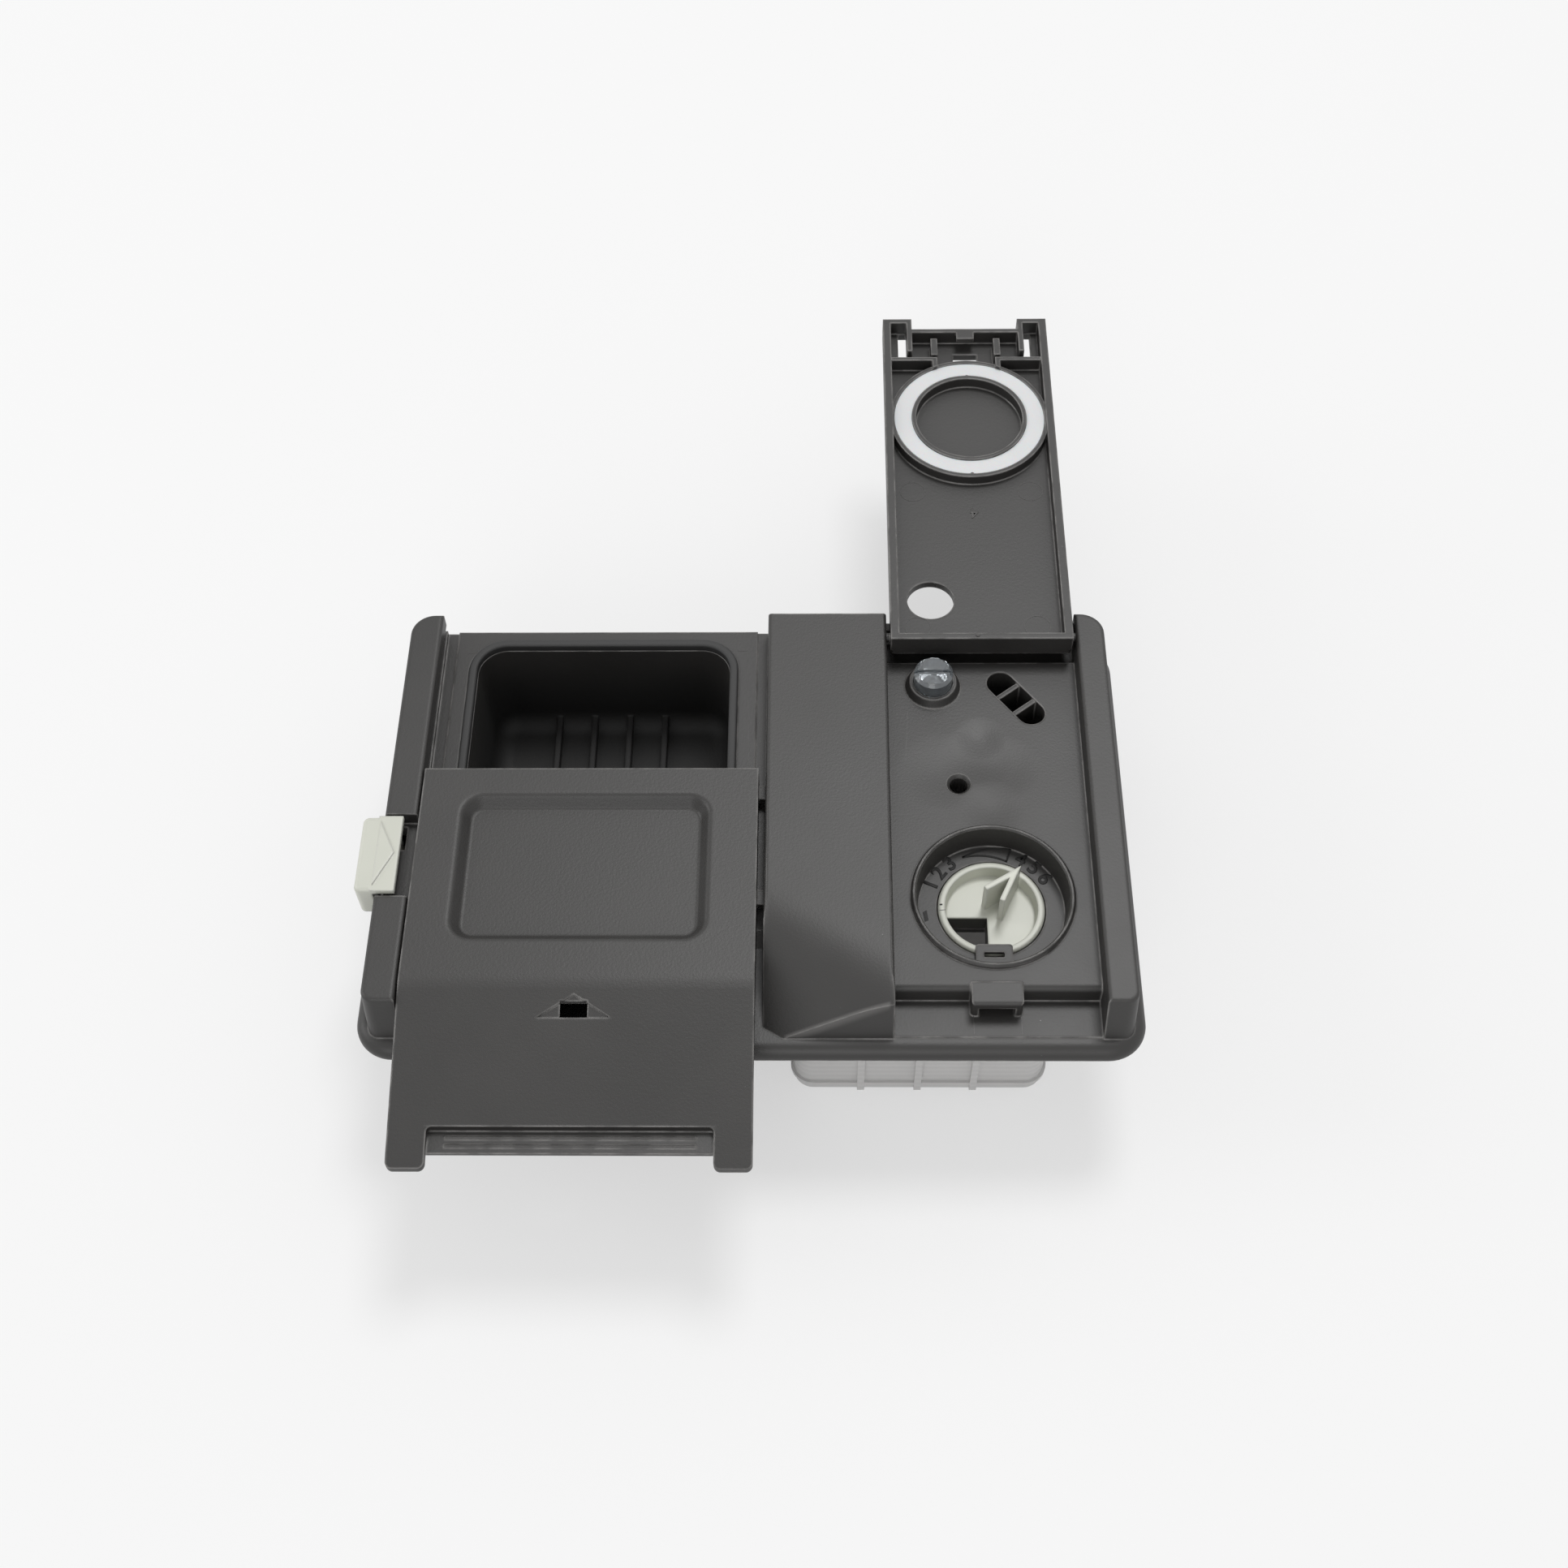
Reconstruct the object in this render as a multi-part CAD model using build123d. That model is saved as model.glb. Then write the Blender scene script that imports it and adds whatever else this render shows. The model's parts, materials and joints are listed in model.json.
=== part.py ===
from build123d import *
import math
import os

os.makedirs("parts", exist_ok=True)

# Sizes in millimetres. x runs from the panel's left edge, y from its front edge,
# and z from the back of its flange towards the wash side.
PANEL_W = 188.0
PANEL_D = 122.0
PANEL_CORNER_R = 9.5
FLANGE_T = 3.5
FLANGE_EDGE_R = 3.2
FLANGE_BACK_W = 4.9
WALL = 2.2
FIT = 0.3
TOP_Z = 16.2
DECK_Z = 8.3
PLATFORM_Z = 9.4

# Plan of the panel, from left to right
LEFT_LIP = 3.5
LEFT_RAIL_W = 8.1
COVER_BAY_W = 85.6
COLUMN_W = 30.9
RIGHT_RAIL_W = 7.5
RIGHT_LIP = 3.2
REAR_LIP = 0.8
FRONT_FOOT_Y = 3.0
FRONT_TOP_Y = 7.6
RAIL_BACK_R = 6.0
RAIL_FRONT_R = 3.0
EDGE_R = 0.9

# Slope at the front left of the column: where it leaves the left edge, its angle and its soft bend
COLUMN_SLOPE_Y = 27.0
COLUMN_SLOPE_DEG = 36.7
COLUMN_BEND_R = 22.0
COLUMN_LEFT_WALL = 3.4

# Bay of the sliding cover
RAMP_FOOT_Y = 28.0
RAMP_TOP_Y = 42.0
TRACK_W = 3.0
TRACK_DEPTH = 0.7
GUIDE_Z = 9.0
GUIDE_H = 2.6
GUIDE_FRONT_Y = 19.4
COLUMN_GUIDE_Y = 35.0
LUG_DEPTH = 1.5
TOOTH_HOLE_W = 8.6

# Detergent cup
CUP_X = 20.6
CUP_W = 66.5
CUP_FRONT_Y = 68.0
CUP_L = 48.0
CUP_CORNER_R = 7.7
CUP_FLOOR_Z = -23.5
CUP_DRAFT = 2.5
CUP_FLOOR_R = 5.0
CUP_RIB_X = 38.9
CUP_RIB_STEP = 9.7
CUP_RIBS = 4
CUP_RIB_W = 1.6
CUP_RIB_H = 3.0
SEAL_W = 2.2
SEAL_PROUD = 1.0
SEAL_SUNK = 1.2

# Platform of the rinse-aid side
PLATFORM_FRONT_Y = 14.0
PLATFORM_BACK_Y = 110.0
PLATFORM_EDGE_R = 1.5
STRIP_STEP = 0.3
STRIP_FRONT_Y = 4.4
PIT_Z = 6.4
REAR_WALL_T = 2.3
REAR_WALL_GAP = 0.4

# Well and dosing dial
WELL_X = 152.65
WELL_Y = 39.4
WELL_R = 20.0
WELL_RIM_H = 1.5
WELL_RIM_CHAMFER = 0.7
WELL_MOUTH_R = 18.7
WELL_MOUTH_CHAMFER = 0.5
WELL_FOOT_R = 18.0
WELL_FLOOR_Z = 3.3
NECK_R = 15.6
NECK_BOTTOM_Z = -7.0
NECK_FLOOR_T = 1.8
DIAL_R = 13.1
DIAL_TOP_Z = 3.9
DIAL_RING_W = 1.7
DIAL_FLOOR_Z = 0.3
DIAL_FLOOR_T = 1.5
DIAL_LIP_R = 0.5
POINTER_DEG = 48.6
POINTER_L = 10.9
POINTER_HALF_W = 3.2
POINTER_WALL = 1.25
POINTER_TOP_Z = 10.2
SECTOR_R = 11.2
SECTOR_WALL = 0.9
DIAL_RING_SECTION = 1.1
DIAL_RING_GAP = 0.08
DIAL_GROOVE_RISE = 1.2
DIAL_GROOVE_DEPTH = 0.9
TAB_W = 9.0
TAB_REACH = 7.2
TAB_T = 0.9
TAB_ROOT_L = 1.6
TAB_SLOT_W = 5.0
TAB_SLOT_L = 1.4

# Level indicator, breather, vent and latch loop on the platform
LENS_X = 140.0
LENS_Y = 102.4
LENS_R = 5.0
LENS_TOP_Z = 16.0
LENS_TIP_Z = -9.0
LENS_CHAMFER = 0.8
LENS_SLOT_W = 0.9
LENS_SLOT_DEPTH = 1.1
COLLAR_TOP_R = 6.0
COLLAR_FOOT_R = 7.2
COLLAR_H = 2.3
BREATHER_X = 145.6
BREATHER_Y = 72.0
BREATHER_R = 2.3
BREATHER_SINK_R = 3.1
VENT_X = 161.35
VENT_Y = 98.6
VENT_SPAN = 11.9
VENT_R = 3.6
VENT_DEG = -52.1
VENT_BAR_W = 1.2
VENT_BAR_DROP = 0.6
VENT_WALL = 1.8
VENT_FLOOR_Z = -6.0
VENT_OUTLET_W = 6.0
VENT_OUTLET_H = 2.5
LOOP_X = 152.4
LOOP_W = 12.2
LOOP_FRONT_Y = 9.9
LOOP_TOP_RISE = 0.5
LOOP_BAR = 2.4
LOOP_LEG = 1.8
LOOP_EDGE_R = 0.8

# Sliding cover, modelled open
COVER_LEFT_GAP = 0.4
COVER_RIGHT_GAP = 1.8
COVER_BACK_Y = 72.3
COVER_BEND_Y = 13.0
COVER_TIP_Y = -29.6
COVER_TIP_Z = 5.6
COVER_T = 1.8
COVER_BEND_R = 16.0
COVER_TRAVEL = 48.0
SKIRT_T = 1.8
SKIRT_BOTTOM_Z = 9.0
BACK_SKIRT_H = 3.6
COVER_RIB_T = 1.6
LUG_L = 4.0
BACK_LUG_INSET = 2.0
LUG_FRONT_Y = 20.4
COLUMN_LUG_Y = 36.0
POCKET_LEFT = 10.2
POCKET_W = 61.4
POCKET_Y = 23.8
POCKET_L = 40.7
POCKET_R = 5.5
POCKET_DEPTH = 3.0
POCKET_SLOPE = 2.4
POCKET_EDGE_R = 1.6
POCKET_FLOOR_R = 0.8
WINDOW_X = 53.4
WINDOW_Y = 6.2
WINDOW_W = 6.4
WINDOW_L = 4.0
ARROW_BASE = 17.3
ARROW_L = 5.4
ARROW_DEPTH = 0.5
FOOT_W = 8.9
FOOT_L = 3.7
FOOT_R = 1.6
LIP_L = 5.6
LIP_T = 1.0
GRIP_RIDGE_R = 0.45
GRIP_RIDGE_INSET = 4.5
GRIP_RIDGE_PLACES = (0.32, 0.68)

# Rinse-aid lid, modelled fully open
LID_GAP = 1.0
HINGE_Y = 114.7
HINGE_Z = 14.2
HINGE_PIN_R = 1.2
HINGE_PIN_L = 2.6
HINGE_PIN_GAP = 0.6
PIN_CLEAR = 0.05
LID_T = 2.1
LID_WALL = 2.2
LID_BACK = 3.75
LID_LENGTH = 113.2
LID_BACK_WALL = 1.8
LID_FRONT_WALL = 1.3
HORN_L = 4.1
HORN_W = 8.3
HORN_SLOT_W = 2.4
HORN_SLOT_L = 13.3
HORN_CHEEK_T = 1.5
CROSS_WALL_S = 96.9
CROSS_WALL_T = 1.2
LID_RIB_W = 1.9
LID_RIB_X = 9.0
LID_RIB_S = 99.4
LID_RIB_END_GAP = 3.2
LID_WEB_T = 1.4
TONGUE_W = 5.0
TONGUE_L = 2.6
TONGUE_T = 1.2
PEEP_W = 6.9
PEEP_S = 100.9
PEEP_L = 4.2
SEAL_OUTER_R = 21.0
SEAL_INNER_R = 16.1
SEAL_TOP_H = 3.1
SEAL_T = 2.2
COLLAR_T = 1.2
INNER_COLLAR_RISE = 0.4
OUTER_COLLAR_RISE = 0.2
LID_CORNER_R = 1.0
LID_HOLE_R = 6.2

# Release button and latch
BUTTON_FRONT_Y = 36.2
BUTTON_L = 21.2
BUTTON_OUT_X = -1.4
BUTTON_BLOCK_W = 4.5
BUTTON_PLATE_W = 5.4
BUTTON_TOP_Z = 17.4
BUTTON_PLATE_T = 1.5
BUTTON_BLOCK_Z = 7.4
BUTTON_R = 1.6
BUTTON_ARROW_H = 0.35
BUTTON_ARROW_L = 4.3
BUTTON_ARROW_INSET = 1.5
BUTTON_TRAVEL = 1.8
NOTCH_GAP = 0.65
NOTCH_FLOOR_Z = 12.0
BUTTON_LEG_X = 4.9
BUTTON_LEG_T = 1.6
BUTTON_LEG_W = 6.0
BUTTON_FOOT_Z = 0.6
BUTTON_FOOT_H = 2.4
LATCH_Y = 54.2
PIVOT_X = 32.0
PIVOT_Z = -6.0
PIVOT_R = 1.5
LATCH_HUB_R = 3.2
LATCH_T = 5.8
LATCH_ARM_W = 2.2
LATCH_PUSH_X = 25.5
TOOTH_W = 4.4
TOOTH_TOP_Z = 9.3
FORK_X = 38.7
FORK_T = 2.0
FORK_BOTTOM_Z = -25.0
FORK_RISE = 6.0
FORK_SLOT_RISE = 4.2
FORK_HALF_W = 4.0
EAR_T = 2.5
EAR_GAP = 0.4
EAR_W = 7.0

# Actuator and dosing valve, on one axis along x
COIL_Y = 46.0
COIL_Z = -21.0
COIL_X = 51.0
COIL_L = 25.0
COIL_R = 10.0
COIL_FLANGE_R = 11.0
COIL_FLANGE_T = 1.5
FRAME_T = 1.5
FRAME_W = 18.0
FRAME_PAD_L = 6.0
PLUNGER_R = 2.8
PLUNGER_BORE_GAP = 0.3
NECK_ROD_R = 1.6
PLUNGER_HEAD_R = 3.0
PLUNGER_HEAD_T = 1.5
FORK_PLAY = 1.0
SPRING_COLLAR_R = 4.2
SPRING_COLLAR_T = 1.5
PISTON_ROD_R = 1.5
PISTON_R = 3.0
PISTON_T = 3.0
PISTON_GAP = 0.06
VALVE_R = 5.5
TAB_TERMINAL_W = 4.8
TAB_TERMINAL_T = 0.8
TERMINAL_BLOCK_W = 14.0
TERMINAL_BLOCK_H = 7.0

# Rear cover of the mechanism
CASE_X = 22.0
CASE_W = 70.0
CASE_Y = 28.0
CASE_L = 35.0
CASE_T = 2.0
CASE_TOP_Z = -0.6
CASE_CORNER_R = 4.0
CASE_EAR_REACH = 6.4
CASE_EAR_W = 7.0
CASE_EAR_T = 2.2

# Tank
TANK_X = 104.0
TANK_W = 63.0
TANK_Y = 10.0
TANK_L = 74.0
TANK_STEP_W = 4.5
TANK_STEP_L = 14.0
TANK_NECK_W = 45.0
TANK_NECK_L = 28.0
TANK_T = 1.6
TANK_CORNER_R = 5.0
TANK_FOOT_R = 1.5
TANK_TOP_Z = -3.0
TANK_LID_T = 2.0
TANK_BOTTOM_Z = -37.5
TANK_RIM_W = 1.4
TANK_RIM_H = 2.0
TANK_RIB_W = 1.8
TANK_RIB_PROUD = 0.9
TANK_RIB_X = (16.9, 31.2, 45.2)
REST_Z = -38.5
FOOT_PAD_R = 3.0

# Fasteners and springs
SCREW_R = 1.5
PILOT_R = 1.25
SCREW_HEAD_R = 2.8
SCREW_HEAD_H = 1.8
SCREW_BITE = 4.6
BOSS_R = 3.4
MOUNT_EDGE = 7.3
MOUNT_END = 18.0
MOUNT_BOSS_R = 3.4
MOUNT_PILOT_R = 1.45
MOUNT_DEPTH = 10.0
GASKET_EDGE = 1.2
GASKET_W = 2.7
GASKET_T = 1.8
WIRE_R = 0.35
SPRING_SEAT_GAP = 0.1
COVER_SPRING_R = 1.45
COVER_ARM_REACH = 4.0
RIB_T = 1.6
SPRING_RIB_Y = 39.0
REAR_RIB_Y = 78.0

# Places worked out from the sizes above
RAIL_IN_X = LEFT_LIP + LEFT_RAIL_W
COLUMN_X = RAIL_IN_X + COVER_BAY_W
LID_BAY_X = COLUMN_X + COLUMN_W
RIGHT_RAIL_OUT_X = PANEL_W - RIGHT_LIP
RIGHT_RAIL_IN_X = RIGHT_RAIL_OUT_X - RIGHT_RAIL_W
REAR_Y = PANEL_D - REAR_LIP
CAVITY_Y = REAR_Y - REAR_WALL_T
WELL_TOP_Z = PLATFORM_Z + WELL_RIM_H
COVER_X = RAIL_IN_X + COVER_LEFT_GAP
COVER_X1 = COLUMN_X - COVER_RIGHT_GAP
COVER_SLOPE = math.atan2(TOP_Z - COVER_TIP_Z, COVER_BEND_Y - COVER_TIP_Y)
CUP_X1 = CUP_X + CUP_W
CUP_BACK_Y = CUP_FRONT_Y + CUP_L
LID_X = LID_BAY_X + LID_GAP
LID_X1 = RIGHT_RAIL_IN_X - LID_GAP
LID_MID_X = (LID_X + LID_X1) / 2
LID_OUT_H = HINGE_Z - TOP_Z
LID_IN_H = LID_OUT_H + LID_T
LID_EDGE_H = HINGE_Z - PLATFORM_Z - FIT
SEAL_S = HINGE_Y - WELL_Y
BUTTON_BACK_Y = BUTTON_FRONT_Y + BUTTON_L
BUTTON_PLATE_X = BUTTON_OUT_X + BUTTON_BLOCK_W
CASE_X1 = CASE_X + CASE_W
CASE_Y1 = CASE_Y + CASE_L
TANK_X1 = TANK_X + TANK_W
TANK_LID_TOP = TANK_TOP_Z + TANK_LID_T
MOUNT_XS = (MOUNT_EDGE, PANEL_W - MOUNT_EDGE)
MOUNT_YS = (MOUNT_END, PANEL_D - MOUNT_END)


def plan(x0, x1, y0, y1, r=0.0):
    """A rectangle in plan between four sides, its corners rounded by r."""
    shape = RectangleRounded(x1 - x0, y1 - y0, r) if r else Rectangle(x1 - x0, y1 - y0)
    return Pos((x0 + x1) / 2, (y0 + y1) / 2) * shape


def raised(face, z0, z1):
    """A plan outline pulled up from z0 to z1."""
    return extrude(Pos(0, 0, z0) * face, z1 - z0)


def post(x, y, z0, z1, r):
    return raised(Pos(x, y) * Circle(r), z0, z1)


def tube(x, y, z0, z1, outer_r, inner_r):
    return raised(Pos(x, y) * (Circle(outer_r) - Circle(inner_r)), z0, z1)


def across(points, x0, x1):
    """A side profile of (y, z) points pulled from x0 to x1."""
    return extrude(Plane.YZ.offset(x0) * make_face(Polyline(*points, close=True)), x1 - x0)


def along(points, y0, y1):
    """A front profile of (x, z) points pulled from y0 to y1."""
    return extrude(Plane.XZ.offset(-y1) * make_face(Polyline(*points, close=True)), y1 - y0)


def rod(x0, x1, y, z, r):
    """A round bar along x."""
    return extrude(Plane.YZ.offset(x0) * Pos(y, z) * Circle(r), x1 - x0)


def pin(x, z, y0, y1, r):
    """A round bar along y."""
    return extrude(Plane.XZ.offset(-y1) * Pos(x, z) * Circle(r), y1 - y0)


def turned(points, x, y):
    """A body of revolution about the upright axis at x and y, from (radius, z) points."""
    face = Plane.XZ * make_face(Polyline(*points, close=True))
    return Pos(x, y, 0) * revolve(face, Axis.Z)


def coil_spring(length, mean_r, turns, wire_r):
    """A round-wire helix about the z axis, from z = 0 to its length, less the wire at both ends."""
    height = length - 2 * wire_r
    path = Pos(0, 0, wire_r) * Helix(pitch=height / turns, height=height, radius=mean_r)
    section = Plane(path @ 0, z_dir=path % 0) * Circle(wire_r)
    return sweep(section, path, is_frenet=True)


def edge_near(solid, x, y, z):
    return solid.edges().sort_by_distance((x, y, z))[0]


def front_y(z):
    """Where the sloping front end of a rail or the column is at height z."""
    return FRONT_FOOT_Y + (FRONT_TOP_Y - FRONT_FOOT_Y) * z / TOP_Z


def flange():
    plate = raised(plan(0, PANEL_W, 0, PANEL_D, PANEL_CORNER_R), 0, FLANGE_T)
    return fillet(plate.faces().sort_by(Axis.Z)[-1].edges(), FLANGE_EDGE_R)


def rail(outer_x, inner_x):
    """A side rail: sloping front end, rounded outer corners and soft top edges."""
    x0, x1 = sorted((outer_x, inner_x))
    profile = [(FRONT_FOOT_Y, 0), (FRONT_TOP_Y, TOP_Z), (REAR_Y, TOP_Z), (REAR_Y, 0)]
    body = across(profile, x0, x1)
    body = fillet(edge_near(body, outer_x, REAR_Y, TOP_Z / 2), RAIL_BACK_R)
    body = fillet(edge_near(body, outer_x, front_y(TOP_Z / 2), TOP_Z / 2), RAIL_FRONT_R)
    return fillet(body.faces().sort_by(Axis.Z)[-1].edges(), EDGE_R)


def column_slope(depth):
    """The space above the column's sloping front left corner, moved down into it by depth."""
    slope = math.radians(COLUMN_SLOPE_DEG)
    crease = Vector(LID_BAY_X, FRONT_TOP_Y, 0) - Vector(COLUMN_X, COLUMN_SLOPE_Y, 0)
    down = Vector(-abs(crease.Y), -crease.X, 0).normalized()
    top = TOP_Z - depth
    start = -depth * math.tan(slope / 2)
    reach = (COLUMN_BEND_R - depth) * math.tan(slope / 2)
    run = COLUMN_SLOPE_Y + COLUMN_W
    end = (start + reach * math.cos(slope), top - reach * math.sin(slope))
    bend = TangentArc((start - reach, top), end, tangent=(1, 0))
    far = (end[0] + run * math.cos(slope), end[1] - run * math.sin(slope))
    sky = TOP_Z * 2
    outline = bend + Polyline(end, far, (far[0], sky), (start - reach, sky), (start - reach, top))
    at = Plane(origin=(COLUMN_X, COLUMN_SLOPE_Y, 0), x_dir=down, z_dir=down.cross(Vector(0, 0, 1)))
    return extrude(at * make_face(outline), 3 * COLUMN_W, both=True)


def column():
    """The centre column, full height at its right and falling away at its front left corner."""
    profile = [(FRONT_FOOT_Y, 0), (FRONT_TOP_Y, TOP_Z), (REAR_Y, TOP_Z), (REAR_Y, 0)]
    body = across(profile, COLUMN_X, LID_BAY_X)
    sides = [edge_near(body, x, PANEL_D / 2, TOP_Z) for x in (COLUMN_X, LID_BAY_X)]
    return fillet(sides, EDGE_R) - column_slope(0)


def column_cavity():
    x0 = COLUMN_X + COLUMN_LEFT_WALL
    x1 = LID_BAY_X - WALL
    foot = FRONT_FOOT_Y + WALL
    roof = TOP_Z - WALL
    profile = [(foot, -1), (foot, 0), (FRONT_TOP_Y + WALL, roof), (CAVITY_Y, roof), (CAVITY_Y, -1)]
    cavity = across(profile, x0, x1) - column_slope(WALL)
    cavity -= raised(plan(x0, x1, SPRING_RIB_Y, SPRING_RIB_Y + RIB_T), FLANGE_T, TOP_Z)
    clear_of_arm = COLUMN_X + COLUMN_LEFT_WALL + COVER_ARM_REACH + 2 * FIT
    return cavity - raised(plan(clear_of_arm, x1, REAR_RIB_Y, REAR_RIB_Y + RIB_T), FLANGE_T, TOP_Z)


def deck():
    """The floor under the sliding cover, with its ramp down to the front."""
    profile = [
        (FRONT_FOOT_Y, 0), (FRONT_FOOT_Y, 1), (RAMP_FOOT_Y, FLANGE_T),
        (RAMP_TOP_Y, DECK_Z), (REAR_Y, DECK_Z), (REAR_Y, 0),
    ]
    body = across(profile, RAIL_IN_X - 1, COLUMN_X + 1)
    for x in (RAIL_IN_X, COLUMN_X - TRACK_W):
        body -= raised(plan(x, x + TRACK_W, RAMP_TOP_Y, PANEL_D), DECK_Z - TRACK_DEPTH, TOP_Z)
    return body


def deck_cavity():
    floor = FLANGE_T - WALL
    ceiling = DECK_Z - WALL
    front = FLANGE_BACK_W + 1
    profile = [
        (front, -1), (front, floor), (RAMP_FOOT_Y + 1, floor),
        (RAMP_TOP_Y + 1, ceiling), (CAVITY_Y, ceiling), (CAVITY_Y, -1),
    ]
    return across(profile, RAIL_IN_X, COLUMN_X)


def left_rail_cavity():
    return raised(plan(FLANGE_BACK_W, RAIL_IN_X - 1.7, FRONT_TOP_Y, REAR_Y - RAIL_BACK_R), -1, DECK_Z - 0.3)


def right_rail_cavity():
    x1 = RIGHT_RAIL_OUT_X - WALL
    return raised(plan(RIGHT_RAIL_IN_X + 1.9, x1, FRONT_TOP_Y + WALL, REAR_Y - RAIL_BACK_R), -1, TOP_Z - WALL)


def platform():
    """The raised floor of the rinse-aid side, with the hinge pit and the low wall behind it."""
    wall_top = HINGE_Z + LID_OUT_H - FIT
    wall_y = HINGE_Y + LID_BACK + REAR_WALL_GAP
    strip_z = FLANGE_T + STRIP_STEP
    profile = [
        (FRONT_FOOT_Y + 1, 0), (STRIP_FRONT_Y, strip_z), (PLATFORM_FRONT_Y, strip_z),
        (PLATFORM_FRONT_Y, PLATFORM_Z), (PLATFORM_BACK_Y, PLATFORM_Z), (PLATFORM_BACK_Y, PIT_Z),
        (wall_y, PIT_Z), (wall_y, wall_top), (REAR_Y, wall_top), (REAR_Y, 0),
    ]
    body = across(profile, LID_BAY_X - 1, RIGHT_RAIL_IN_X + 1)
    edge = edge_near(body, LID_MID_X, PLATFORM_FRONT_Y, PLATFORM_Z)
    return fillet(edge, PLATFORM_EDGE_R)


def platform_cavity():
    floor = FLANGE_T - WALL
    front = FLANGE_BACK_W + 1
    step = PLATFORM_FRONT_Y + WALL
    back = PLATFORM_BACK_Y - WALL
    profile = [
        (front, -1), (front, floor), (step, floor), (step, PLATFORM_Z - WALL), (back, PLATFORM_Z - WALL),
        (back, PIT_Z - WALL), (CAVITY_Y, PIT_Z - WALL), (CAVITY_Y, -1),
    ]
    return across(profile, LID_BAY_X, RIGHT_RAIL_IN_X)


def cup_outline(grow=0.0, y_shift=0.0):
    """The mouth of the cup in plan, grown by an amount all round."""
    y0 = CUP_FRONT_Y - grow + y_shift
    y1 = CUP_BACK_Y + grow + y_shift
    return plan(CUP_X - grow, CUP_X1 + grow, y0, y1, CUP_CORNER_R + grow)


def cup_body(grow, top_z, floor_z, floor_r):
    """The drafted and round-footed form of the cup, from its mouth down."""
    mouth = Pos(0, 0, top_z) * cup_outline(grow)
    body = extrude(mouth, top_z - floor_z, dir=(0, 0, -1), taper=CUP_DRAFT)
    return fillet(body.faces().sort_by(Axis.Z)[0].edges(), floor_r)


def cup_ribs():
    """Fins along the cup's floor that hold a tablet clear of it."""
    front = CUP_FRONT_Y + 3 * CUP_RIB_H
    back = CUP_BACK_Y
    top = CUP_FLOOR_Z + CUP_RIB_H
    under = CUP_FLOOR_Z - WALL / 2
    profile = [(front, under), (front + CUP_RIB_H, top), (back, top), (back, under)]
    fins = []
    for i in range(CUP_RIBS):
        x = CUP_RIB_X + i * CUP_RIB_STEP
        fins.append(across(profile, x - CUP_RIB_W / 2, x + CUP_RIB_W / 2))
    return fins


def well_form():
    """The outside of the well and of the neck below it."""
    rim = WELL_TOP_Z
    under = WELL_FLOOR_Z - WALL
    outline = [
        (0, NECK_BOTTOM_Z), (NECK_R, NECK_BOTTOM_Z), (NECK_R, under), (WELL_R, under),
        (WELL_R, rim - WELL_RIM_CHAMFER), (WELL_R - WELL_RIM_CHAMFER, rim), (0, rim),
    ]
    return turned(outline, WELL_X, WELL_Y)


def well_hollow():
    """The inside of the well: its tapering wall, its floor and the seat of the dial."""
    bore = DIAL_R + FIT
    seat = NECK_BOTTOM_Z + NECK_FLOOR_T
    lip = WELL_MOUTH_R + WELL_MOUTH_CHAMFER
    outline = [
        (0, seat), (bore, seat), (bore, WELL_FLOOR_Z), (WELL_FOOT_R, WELL_FLOOR_Z),
        (WELL_MOUTH_R, WELL_TOP_Z - WELL_MOUTH_CHAMFER), (lip, WELL_TOP_Z), (lip, TOP_Z), (0, TOP_Z),
    ]
    return turned(outline, WELL_X, WELL_Y)


def sector(r, z0, z1, grow=0.0):
    """The quarter of the dial at its lower left, with its two straight sides moved in by a negative grow."""
    quarter = Circle(r) & (Pos(-r / 2 + grow / 2, -r / 2 + grow / 2) * Rectangle(r + grow, r + grow))
    return raised(Pos(WELL_X, WELL_Y) * quarter, z0, z1)


def dial_tab():
    """The tab at the front of the well that holds the dial down."""
    y0 = WELL_Y - WELL_FOOT_R - 0.6
    bottom = DIAL_TOP_Z + 0.2
    x0, x1 = WELL_X - TAB_W / 2, WELL_X + TAB_W / 2
    slot_y1 = y0 + TAB_REACH - TAB_ROOT_L
    slot = plan(WELL_X - TAB_SLOT_W / 2, WELL_X + TAB_SLOT_W / 2, slot_y1 - TAB_SLOT_L, slot_y1, 0.4)
    tab = raised(plan(x0, x1, y0, y0 + TAB_REACH + 0.6, 0.8) - slot, bottom, bottom + TAB_T)
    foot = raised(plan(x0, x1, y0, y0 + TAB_ROOT_L), WELL_FLOOR_Z - 0.5, bottom + TAB_T)
    inside = post(WELL_X, WELL_Y, 0, TOP_Z, WELL_R - 0.6)
    return (tab + foot) & inside


def vent_cells(grow=0.0):
    """The slanted slot in plan."""
    return Pos(VENT_X, VENT_Y) * Rot(0, 0, VENT_DEG) * SlotCenterToCenter(VENT_SPAN, 2 * (VENT_R + grow))


def vent_bars():
    """The two bars that cut the slot into three cells, a little lower than the platform."""
    third = (VENT_SPAN + 2 * VENT_R) / 6
    bars = Rectangle(VENT_BAR_W, 2 * VENT_R + 1)
    pair = Pos(-third, 0) * bars + Pos(third, 0) * bars
    return raised(Pos(VENT_X, VENT_Y) * Rot(0, 0, VENT_DEG) * pair, 0.6, PLATFORM_Z - VENT_BAR_DROP)


def lens_collar():
    """The conical collar round the level indicator, with its guide tube below."""
    top = PLATFORM_Z + COLLAR_H
    outline = [
        (0, TANK_LID_TOP), (COLLAR_TOP_R, TANK_LID_TOP), (COLLAR_TOP_R, PLATFORM_Z - 1),
        (COLLAR_FOOT_R, PLATFORM_Z - 1), (COLLAR_FOOT_R, PLATFORM_Z), (COLLAR_TOP_R, top), (0, top),
    ]
    return turned(outline, LENS_X, LENS_Y)


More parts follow.
